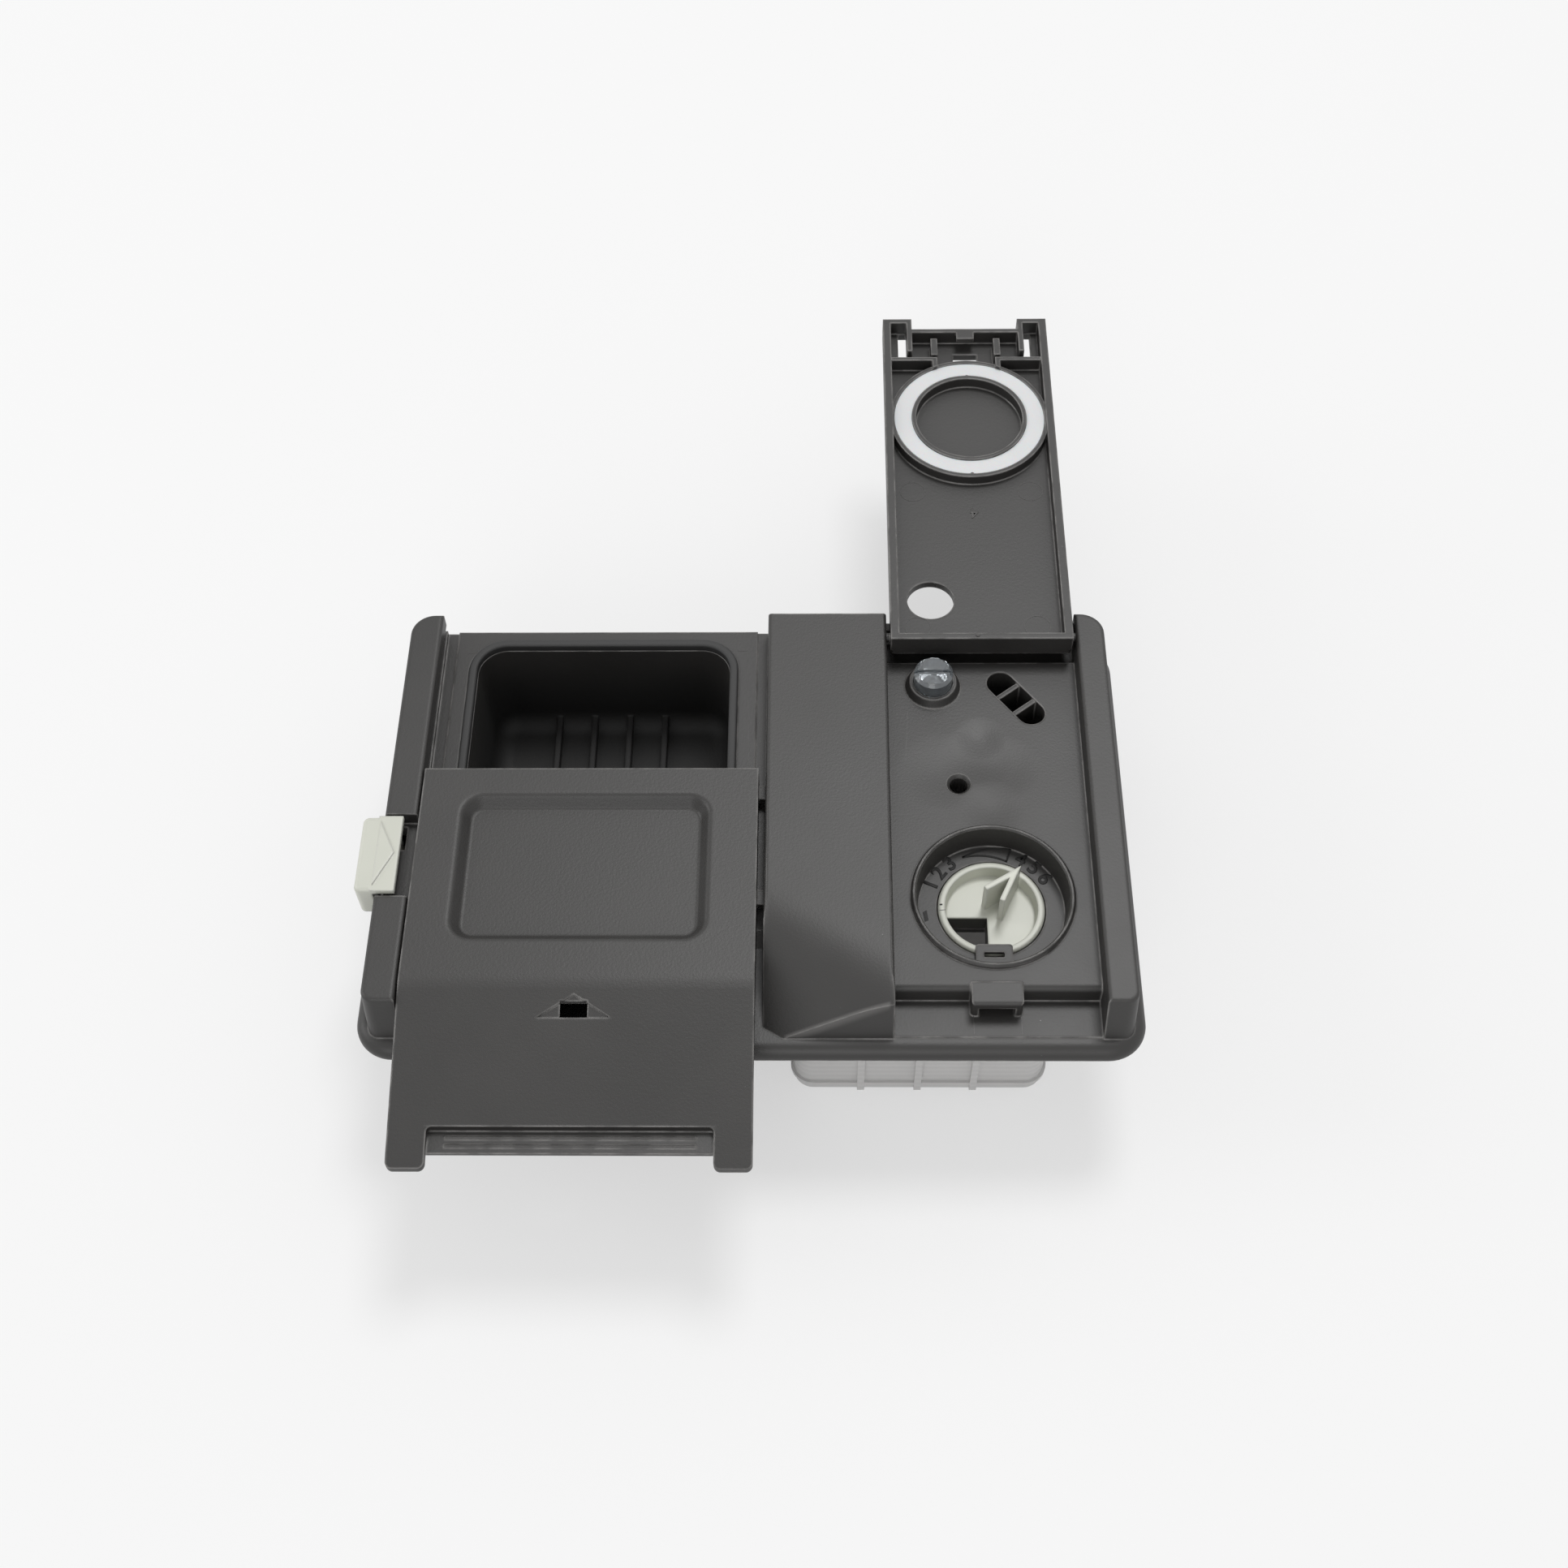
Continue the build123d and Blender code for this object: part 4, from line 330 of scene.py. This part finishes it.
def moulded_plastic(name, colour, edge_colour, roughness, grain, clouds=0.12, dust=0.0, panel=False):
    material, start = new_tree(name)
    at = object_place(start)
    soft, edges = edge_mask(start)
    cloud = noise(at, 26, 3, 0.6)
    tone = mix(cloud.smooth(0.3, 0.7), tinted(colour, -clouds), tinted(colour, clouds))
    # Edges are mixed towards the edge colour: partly wear from handling, partly a painted highlight
    # along them.
    wear_and_highlight = edges * (0.35 + noise(at, 180, 2).smooth(0.35, 0.6) * 0.5)
    tone = mix(dust_specks(at, dust), mix(wear_and_highlight, tone, edge_colour), DUST_GREY)
    gloss = roughness + (cloud - 0.5) * 0.12 - edges * 0.08
    if panel:
        turned, on_top, crease = column_masks(start, at)
        # Down in the cup the tone turns near black: painted shade.
        deep = cup_shade_depth(at)
        # Along the crease the tone turns towards the edge grey: a painted highlight.
        tone = mix(deep, mix(crease * CREASE_HIGHLIGHT_SHARE, tone, edge_colour), CUP_SHADE_BLACK)
        gloss = gloss + deep * CUP_ROUGHER
        soft = sunk(start, at, column_bend(soft, turned, on_top))
    fine = noise(at, 1500, 2, 0.7)
    inputs = {"Strength": grain, "Distance": GRAIN_DEPTH, "Height": fine, "Normal": soft}
    bump = start.node("ShaderNodeBump", {}, inputs)
    principled(start, {"Base Color": tone, "Roughness": gloss, "Normal": bump})
    return material


print("grain is", GRAIN_DEPTH / MM, "mm deep at most")

# %% [markdown]
# The panel and the cover are the same plastic, but the cover comes from its own mould and has a coarser
# grain. Marks cut in the mould come out smoother and a little paler. The scale's strokes get a painted
# shade instead: near black, for the shadow that fills cut strokes. Marks cut in the mould come out
# smoother and a little paler, and the
# scale's strokes are darker, as strokes filled by shadow are.

# %% The dark plastics
# The edge grey is partly wear and partly a painted highlight.
EDGE_WEAR_AND_HIGHLIGHT_GREY = grey(0.34, 0.03)

dark = moulded_plastic("dark_plastic", grey(0.023, 0.05), EDGE_WEAR_AND_HIGHLIGHT_GREY, 0.44, 0.3, dust=0.4, panel=True)
cover_dark = moulded_plastic("cover_plastic", grey(0.025, 0.05), EDGE_WEAR_AND_HIGHLIGHT_GREY, 0.45, 0.4, dust=0.4)
marks = moulded_plastic("mark_plastic", grey(0.05, 0.04), grey(0.16, 0.03), 0.38, 0.1, clouds=0.2)
# Near black for the shade in cut strokes, notches and gaps: a painted shade.
painted_shade_dark = moulded_plastic(
    "painted_shade_plastic", grey(0.006, 0.04), grey(0.012, 0.03), 0.6, 0.1, clouds=0.2
)
rubber = moulded_plastic("dark_rubber", grey(0.022), grey(0.04), 0.6, 0.1)
print("dark plastics:", dark.name, cover_dark.name, marks.name, painted_shade_dark.name, rubber.name)

# %% [markdown]
# The button and the dial are a pale, slightly green grey. The dial's open quarter looks down past its
# floor, and the walls below the floor stand in deep shade. That shade is painted: a dark tone by height,
# which stays right as the dial turns.

# %% The pale plastics
DIAL_SHADE_Z = 0.1
DIAL_SHADE_SOFT = 0.5
PALE_EDGE = (0.7, 0.7, 0.65, 1)


def darkened_below(material, z, tone):
    """Paints shade into a finish: a dark tone under a height."""
    shader = next(n for n in material.node_tree.nodes if n.type == "BSDF_PRINCIPLED")
    colour_in = shader.inputs["Base Color"]
    start = Value(material.node_tree)
    high = object_place(start).parts()[2]
    upper = Value(material.node_tree, colour_in.links[0].from_socket)
    shaded = mix(high.smooth((z - DIAL_SHADE_SOFT) * MM, z * MM), tone, upper)
    material.node_tree.links.new(shaded.socket, colour_in)


pale = moulded_plastic("light_plastic", (0.6, 0.61, 0.54, 1), PALE_EDGE, 0.32, 0.06, clouds=0.03)
dial_pale = moulded_plastic("dial_plastic", (0.56, 0.57, 0.5, 1), PALE_EDGE, 0.34, 0.06, clouds=0.03)
# The dial's walls below its floor get a painted shade.
darkened_below(dial_pale, DIAL_SHADE_Z, (0.05, 0.05, 0.042, 1))
print("pale plastics:", pale.name, dial_pale.name)

# %% [markdown]
# The lid's flat ring is white silicone: pale, a little blue, and faintly see-through. The
# tank is natural polypropylene, milky and faintly banded from its mould, and the level
# indicator is clear. Each is a principled shader with a constant share of subsurface light
# or transmission, because the export keeps only constants there.

# %% Silicone, milky tank and clear lens
TANK_BANDS = 2600.0


def silicone(name):
    material, start = new_tree(name)
    at = object_place(start)
    tone = mix(noise(at, 60, 2), grey(0.66, -0.01), grey(0.74, -0.01))
    dimples = {"Strength": 0.1, "Distance": 0.1 * MM, "Height": noise(at, 900)}
    inputs = {
        "Base Color": tone,
        "Roughness": 0.42,
        "Subsurface Weight": 0.15,
        "Subsurface Scale": 2.0 * MM,
        "Normal": start.node("ShaderNodeBump", {}, dimples),
    }
    principled(start, inputs)
    return material


def milky_tank(name):
    material, start = new_tree(name)
    at = object_place(start)
    bands = at.maths("SINE", at.parts()[2] * TANK_BANDS).smooth(-1.0, 1.0)
    tone = mix(bands * 0.35 + noise(at, 45, 3) * 0.5, grey(0.68, 0.01), grey(0.8, 0.01))
    ripples = {"Strength": 0.25, "Distance": 0.2 * MM, "Height": bands}
    bump = start.node("ShaderNodeBump", {}, ripples)
    inputs = {"Base Color": tone, "Roughness": 0.4, "Transmission Weight": 0.3, "IOR": 1.2}
    principled(start, {**inputs, "Normal": bump})
    return material


def clear_lens(name):
    material, start = new_tree(name)
    at = object_place(start)
    gloss = noise(at, 300, 2) * 0.03
    tone = mix(noise(at, 120), (0.8, 0.88, 0.94, 1), (0.92, 0.96, 0.99, 1))
    principled(start, {"Base Color": tone, "Roughness": gloss, "Transmission Weight": 0.92, "IOR": 1.49})
    return material


seal_white = silicone("white_seal")
tank_milk = milky_tank("tank_plastic")
lens_clear = clear_lens("clear_lens")
print("seal, tank and lens ready")

# %% [markdown]
# Behind the panel are a lacquered coil, a zinc-plated bracket, screws, springs and two brass
# tabs. They show only from below and when the part is taken apart, but each gets its own
# metal: streaks along the rolling direction, and roughness that varies with them. The
# button's spring is blackened, so that it doesn't glint in the button's notch.

# %% Metals and the coil
COIL_TURNS = 12000.0


def metal(name, colour, roughness, streak):
    material, start = new_tree(name)
    at = object_place(start)
    lines = noise(at.vector("MULTIPLY", streak), 1.0, 3, 0.6)
    tone = mix(lines, tinted(colour, -0.18), tinted(colour, 0.0))
    gloss = roughness + (lines - 0.5) * 0.18
    principled(start, {"Base Color": tone, "Metallic": 1.0, "Roughness": gloss})
    return material


def wound_coil(name):
    material, start = new_tree(name)
    at = object_place(start)
    turns = at.maths("SINE", at.parts()[0] * COIL_TURNS).smooth(-1.0, 1.0)
    tone = mix(turns, (0.16, 0.045, 0.012, 1), (0.5, 0.17, 0.05, 1))
    bump = start.node("ShaderNodeBump", {}, {"Strength": 0.6, "Distance": 0.3 * MM, "Height": turns})
    principled(start, {"Base Color": tone, "Roughness": 0.3, "Coat Weight": 0.4, "Normal": bump})
    return material


spring = metal("spring_steel", (0.6, 0.6, 0.6), 0.25, (900, 900, 90))
black_spring = metal("blackened_spring", (0.06, 0.06, 0.06), 0.5, (90, 900, 900))
bracket = metal("bracket_steel", (0.62, 0.62, 0.64), 0.36, (60, 900, 900))
brass = metal("terminal_brass", (0.72, 0.56, 0.26), 0.3, (900, 60, 900))
coil = wound_coil("coil_wrap")
print("metals and coil ready")

# %% [markdown]
# Every node of the frame names its material slot in the record. The finishes above carry
# the same names, so one loop hands them out. Two nodes have a finish of their own within
# their slot.

# %% Give each node its finish
FINISHES = {
    "dark_plastic": dark,
    "cover_plastic": cover_dark,
    "light_plastic": pale,
    "dark_rubber": rubber,
    "white_seal": seal_white,
    "tank_plastic": tank_milk,
    "clear_lens": lens_clear,
    "spring_steel": spring,
    "bracket_steel": bracket,
    "terminal_brass": brass,
    "coil_wrap": coil,
}
OWN_FINISHES = {"dosage_dial": dial_pale, "button_spring": black_spring}
for part in frame["record"]["subparts"]:
    mesh = frame["nodes"][part["node"]].data
    mesh.materials.clear()
    mesh.materials.append(OWN_FINISHES.get(part["node"], FINISHES[part["material_slot"]]))

# %% [markdown]
# Small marks that a moulder cuts in the steel stand up to a few tenths of a millimetre proud
# of the plastic. Each is a flat outline pulled up by that height. The alternative, a bump in
# the material, would vanish in a low view.

# %% Outlines pulled up into thin marks
PROUD = 0.05


def thin_piece(name, outlines, z, height=PROUD, body="base", finish=None):
    """Plan outlines in panel millimetres pulled up from z and joined as one piece."""
    bm = bmesh.new()
    for outline in outlines:
        corners = [bm.verts.new(place(x, y, z)) for x, y in outline]
        face = bm.faces.new(corners)
        face.normal_update()
        if face.normal.z > 0:
            face.normal_flip()
        grown = bmesh.ops.extrude_face_region(bm, geom=[face], use_keep_orig=True)
        lifted = [v for v in grown["geom"] if isinstance(v, bmesh.types.BMVert)]
        bmesh.ops.translate(bm, verts=lifted, vec=(0, 0, height * MM))
    bmesh.ops.recalc_face_normals(bm, faces=bm.faces)
    mesh = bpy.data.meshes.new(name)
    bm.to_mesh(mesh)
    bm.free()
    return finish_piece(name, mesh, body, finish or marks)


def finish_piece(name, mesh, body, finish):
    piece = bpy.data.objects.new(name, mesh)
    bpy.context.scene.collection.objects.link(piece)
    mesh.materials.append(finish)
    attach(piece, body)
    return piece


print("marks stand", PROUD, "mm proud unless they say otherwise")

# %% [markdown]
# A line is an outline too: its left side walked forwards and its right side walked back. A
# ring is two half rings, because an outline that closes on itself has no single inside.

# %% Lines and rings as outlines


def line(points, width):
    """The outline of a line of some width through two or more points."""
    left, right = [], []
    for i, here in enumerate(points):
        before = Vector(points[max(i - 1, 0)])
        after = Vector(points[min(i + 1, len(points) - 1)])
        ahead = (after - before).normalized()
        side = Vector((-ahead.y, ahead.x)) * width / 2
        left.append(Vector(here) + side)
        right.append(Vector(here) - side)
    return left + right[::-1]


def circle_line(x, y, r, width, steps=48):
    """A ring as two half rings, so that each outline stays simple."""
    halves = []
    for half in (0, 1):
        turn = [math.pi * (half + i / (steps // 2)) for i in range(steps // 2 + 1)]
        halves.append(line([(x + r * math.cos(a), y + r * math.sin(a)) for a in turn], width))
    return halves


print("a ring's outlines:", len(circle_line(0, 0, 1, 0.1)))

# %% [markdown]
# Numbers are text curves given a height and made into a mesh. The curve itself is taken
# away again, so that only the mesh rides with its body.

# %% Lettering


def lettering(name, text, size, x, y, z, turn_deg, body, height=PROUD, bold=0.0, finish=None):
    """Text as a mesh, centred at a place on the panel and turned about its upright axis."""
    curve = bpy.data.curves.new(name, "FONT")
    curve.body = text
    curve.size = size * MM
    curve.align_x = "CENTER"
    curve.align_y = "CENTER"
    curve.extrude = height * MM
    curve.offset = bold * MM
    holder = bpy.data.objects.new(name, curve)
    bpy.context.scene.collection.objects.link(holder)
    bpy.context.view_layer.update()
    mesh = bpy.data.meshes.new_from_object(holder.evaluated_get(bpy.context.evaluated_depsgraph_get()))
    bpy.data.objects.remove(holder)
    bpy.data.curves.remove(curve)
    mesh.transform(Matrix.Translation(place(x, y, z)) @ Matrix.Rotation(math.radians(turn_deg), 4, "Z"))
    mesh.name = name
    mesh.materials.clear()
    return finish_piece(name, mesh, body, finish or marks)


print("letters stand", PROUD, "mm proud unless they say otherwise")

# %% [markdown]
# The lid's inside shows where the mould pushes it out: four ejector circles, a cavity number
# and the gate's little stub on its rear wall. The number reads upside down from the front,
# since the lid lies open.

# %% Marks inside the lid
LID_FLOOR_Z = 14.3
LID_WALL_TOP = 18.7
EJECTORS = ((136.3, 165.2), (168.6, 165.3), (136.4, 117.9), (167.8, 118.3))
EJECTOR_R = 3.4
NUMBER_SIZE = 5.0
GATE_AT = (151.6, 111.9)
GATE_ANGLES = (0.2, 1.3, 2.4, 3.3, 4.4, 5.4)

rings = []
for x, y in EJECTORS:
    rings += circle_line(x, y, EJECTOR_R, 0.24)
thin_piece("lid_ejector_marks", rings, LID_FLOOR_Z, body="lid")
lettering(
    "lid_cavity_number", "4", NUMBER_SIZE, 152.9, 157.5, LID_FLOOR_Z, 180, "lid",
    height=0.12, bold=0.06,
)
gate = [(GATE_AT[0] + 0.6 * math.cos(a), GATE_AT[1] + 0.45 * math.sin(a)) for a in GATE_ANGLES]
thin_piece("lid_gate_stub", [gate], LID_WALL_TOP - 0.1, height=0.3, body="lid")
print("lid marks:", len(EJECTORS) + 2)

# %% [markdown]
# A scale runs round the dial: low numbers, a wedge that widens with the dose and high
# numbers. Each digit stands square to the dial's middle, so its place and turn come from one
# angle.

# %% Scale in the well
WELL_AT = (152.65, 39.4)
WELL_FLOOR_Z = 3.3
SCALE_R = 16.0
SCALE_PROUD = 0.2
DIGIT_SIZE = 5.4
SCALE = (("1", 155.0), ("2", 141.0), ("3", 127.0), ("4", 60.0), ("5", 46.0), ("6", 32.0))
WEDGE_TIP_DEG = 114.0
WEDGE_END_DEG = 72.0
WEDGE_SPREAD = 1.8


def round_well(r, deg):
    turn = math.radians(deg)
    return (WELL_AT[0] + r * math.cos(turn), WELL_AT[1] + r * math.sin(turn))


# The digits are raised, and their near-black finish is the painted shade of cut strokes.
for digit, deg in SCALE:
    x, y = round_well(SCALE_R, deg)
    lettering(
        "scale_" + digit, digit, DIGIT_SIZE, x, y, WELL_FLOOR_Z, deg - 90, "base",
        height=SCALE_PROUD, bold=0.1, finish=painted_shade_dark,
    )


def wedge_side(spread, steps=14):
    """One side of the wedge, moving away from the middle radius as the angle runs on."""
    shares = [i / steps for i in range(steps + 1)]
    sweep = WEDGE_END_DEG - WEDGE_TIP_DEG
    return [round_well(SCALE_R + spread * share, WEDGE_TIP_DEG + sweep * share) for share in shares]


# The wedge's lines carry the same painted shade.
bar = [round_well(SCALE_R - 2.0, WEDGE_END_DEG), round_well(SCALE_R + 2.0, WEDGE_END_DEG)]
sides = [line(wedge_side(WEDGE_SPREAD), 0.4), line(wedge_side(-WEDGE_SPREAD), 0.4), line(bar, 0.45)]
thin_piece("scale_wedge", sides, WELL_FLOOR_Z, height=SCALE_PROUD, finish=painted_shade_dark)
print("scale digits:", len(SCALE))

# %% [markdown]
# Inserts in the mould leave hairline steps where they meet: an L at each rear corner of the
# deck and two on the strip before the latch loop. A few scratches on the platform finish the
# used look.

# %% Witness lines and scratches
DECK_Z = 8.3
STRIP_Z = 3.8
HAIR = 0.14
HAIR_PROUD = 0.04
LEFT_STEP = ((20.2, 120.8), (20.2, 114.3), (17.5, 114.3), (17.5, 78.3))
RIGHT_STEP = ((89.0, 120.9), (89.0, 114.9), (91.6, 114.9), (92.6, 78.3))
SCRATCH_PROUD = 0.015
SCRATCHES = (
    (((133.3, 94.1), (132.9, 86.0), (132.4, 78.7)), 0.1),
    (((149.1, 89.7), (151.2, 87.6), (152.8, 85.1)), 0.12),
    (((130.3, 94.0), (130.6, 93.2)), 0.16),
    (((147.9, 90.2), (148.6, 90.0)), 0.1),
)

deck_lines = []
for step in (LEFT_STEP, RIGHT_STEP):
    deck_lines += [line(stretch, HAIR) for stretch in zip(step, step[1:])]
thin_piece("deck_witness_lines", deck_lines, DECK_Z, height=HAIR_PROUD)
strip_lines = [line([(x, 5.2), (x, 13.8)], HAIR) for x in (147.0, 158.3)]
thin_piece("strip_witness_lines", strip_lines, STRIP_Z, height=HAIR_PROUD)
scratches = [line(points, width) for points, width in SCRATCHES]
thin_piece("platform_scratches", scratches, PLATFORM_Z, height=SCRATCH_PROUD)
print("deck lines:", len(deck_lines), "scratches:", len(scratches))

# %% [markdown]
# Three small near-black pieces of painted shade remain. Two fine lines on the dial's ring stand for the
# shade in its notch and turn with it, a flat patch at the foot of the well's wall stands for the shade
# in the drain notch, and a near-black web behind the left rail closes the way through beside the button.

# %% Painted shade: dial notch, drain notch and rail web
DIAL_RING_Z = 3.9
RAIL_WEB_Z = -0.3
RAIL_WEB_T = 0.5

# Each of these pieces is near black: painted shade.
notches = [
    line([(139.9, 38.6), (141.4, 38.75)], HAIR),
    line([(140.0, 40.2), (140.7, 40.25)], 0.45),
]
thin_piece(
    "dial_notch", notches, DIAL_RING_Z, height=0.02, body="dial", finish=painted_shade_dark
)
# No notch is cut: a flat near-black patch is painted shade where the drain opens.
drain = [(136.2, 35.7), (137.2, 36.1), (136.8, 39.0), (135.8, 38.4)]
thin_piece("well_drain_shade", [drain], WELL_FLOOR_Z, height=0.03, finish=painted_shade_dark)
# The web is a thin near-black sheet, so the gap beside the button shows as painted shade.
web = [(2.6, 55.5), (9.6, 55.5), (9.6, 68.0), (2.6, 68.0)]
thin_piece("rail_back_web", [web], RAIL_WEB_Z, height=RAIL_WEB_T, finish=painted_shade_dark)
print("notch lines:", len(notches))

# %% [markdown]
# The part stands on its tank on a white table. The table is white card that also glows a
# little for the camera and in reflections, so its shadow stays soft and pale.

# %% White table
FLOOR_HALF = 3.0
FLOOR_GLOW = 1.0
FLOOR_SHARE = 0.5


def seen_ray(start):
    """1 for a ray from the camera, off a glossy surface or through glass, and 0 for any other."""
    direct = start.node("ShaderNodeLightPath", output="Is Camera Ray")
    shiny = start.node("ShaderNodeLightPath", output="Is Glossy Ray")
    through = start.node("ShaderNodeLightPath", output="Is Transmission Ray")
    return start.maths("MAXIMUM", direct, start.maths("MAXIMUM", shiny, through))


def white_floor():
    bm = bmesh.new()
    bmesh.ops.create_grid(bm, x_segments=1, y_segments=1, size=FLOOR_HALF)
    bmesh.ops.translate(bm, verts=bm.verts, vec=(0, 0, FLOOR_Z * MM))
    mesh = bpy.data.meshes.new("table")
    bm.to_mesh(mesh)
    bm.free()
    table = bpy.data.objects.new("table", mesh)
    bpy.context.scene.collection.objects.link(table)
    material, start = new_tree("table_white")
    at = object_place(start)
    tone = mix(noise(at, 3, 2), grey(0.86), grey(0.88))
    inputs = {"Base Color": tone, "Roughness": 0.9, "Specular IOR Level": 0.1}
    card = start.node("ShaderNodeBsdfPrincipled", {}, inputs)
    glow = start.node("ShaderNodeEmission", {}, {"Color": (1, 1, 1, 1), "Strength": FLOOR_GLOW})
    share = seen_ray(start) * FLOOR_SHARE
    wire_up(start, start.node("ShaderNodeMixShader", {}, {0: share, 1: card, 2: glow}))
    mesh.materials.append(material)
    return table


white_floor()
print("table at", FLOOR_Z, "mm")

# %% [markdown]
# The world is plain white where it is seen or mirrored, and half as strong where it only gives light.
# Three large lamps aim at the part's middle: a high window behind it, which together with the edges'
# painted highlight draws the bright lines on the edges, and a weaker lamp in front and at the left.

# %% World and lamps
WORLD_LIGHT = 0.5
LAMPS = (
    ("window", (0.35, 0.95, 2.3), 0.8, 23.0),
    ("front", (-0.3, -2.0, 1.2), 1.3, 10.0),
    ("side", (-1.9, 0.3, 1.0), 1.2, 9.0),
)


def soft_lamp(name, at, width, watts):
    lamp = bpy.data.lights.new(name, "AREA")
    lamp.shape = "DISK"
    lamp.size = width
    lamp.energy = watts
    holder = bpy.data.objects.new(name, lamp)
    holder.location = at
    holder.rotation_euler = (-Vector(at)).to_track_quat("-Z", "Y").to_euler()
    bpy.context.scene.collection.objects.link(holder)


def plain_world(strength):
    world = bpy.data.worlds.new("studio")
    bpy.context.scene.world = world
    world.use_nodes = True
    world.node_tree.nodes.clear()
    start = Value(world.node_tree)
    level = strength + seen_ray(start) * (1.0 - strength)
    light = start.node("ShaderNodeBackground", {}, {"Color": (1, 1, 1, 1), "Strength": level})
    start.node("ShaderNodeOutputWorld", {}, {"Surface": light})


plain_world(WORLD_LIGHT)
for name, at, width, watts in LAMPS:
    soft_lamp(name, at, width, watts)
print("lamps:", len(LAMPS))

# %% [markdown]
# The photograph looks down at 56 degrees from just right of the middle, turned a little and
# tilted a little. The camera's own axes are worked out from those three angles.

# %% Camera
CAMERA_AT = (0.01648, -0.26403, 0.42644)
LENS_MM = 45.52
PITCH = math.radians(56.58)
YAW = math.radians(-1.843)
ROLL = math.radians(-1.575)


def camera_axes():
    ahead = Vector((math.sin(YAW) * math.cos(PITCH), math.cos(YAW) * math.cos(PITCH), -math.sin(PITCH)))
    level = Vector((math.cos(YAW), -math.sin(YAW), 0))
    up = level.cross(ahead)
    right = level * math.cos(ROLL) + up * math.sin(ROLL)
    return right, right.cross(ahead), ahead


def set_camera():
    right, up, ahead = camera_axes()
    camera = bpy.data.cameras.new("photo_view")
    camera.lens = LENS_MM
    camera.sensor_width = 36.0
    camera.clip_start = 0.01
    holder = bpy.data.objects.new("photo_view", camera)
    turn = Matrix((right, up, -ahead)).transposed().to_4x4()
    holder.matrix_world = Matrix.Translation(CAMERA_AT) @ turn
    bpy.context.scene.collection.objects.link(holder)
    bpy.context.scene.camera = holder


set_camera()
bpy.context.scene.view_settings.view_transform = "Standard"
print("camera at", CAMERA_AT)
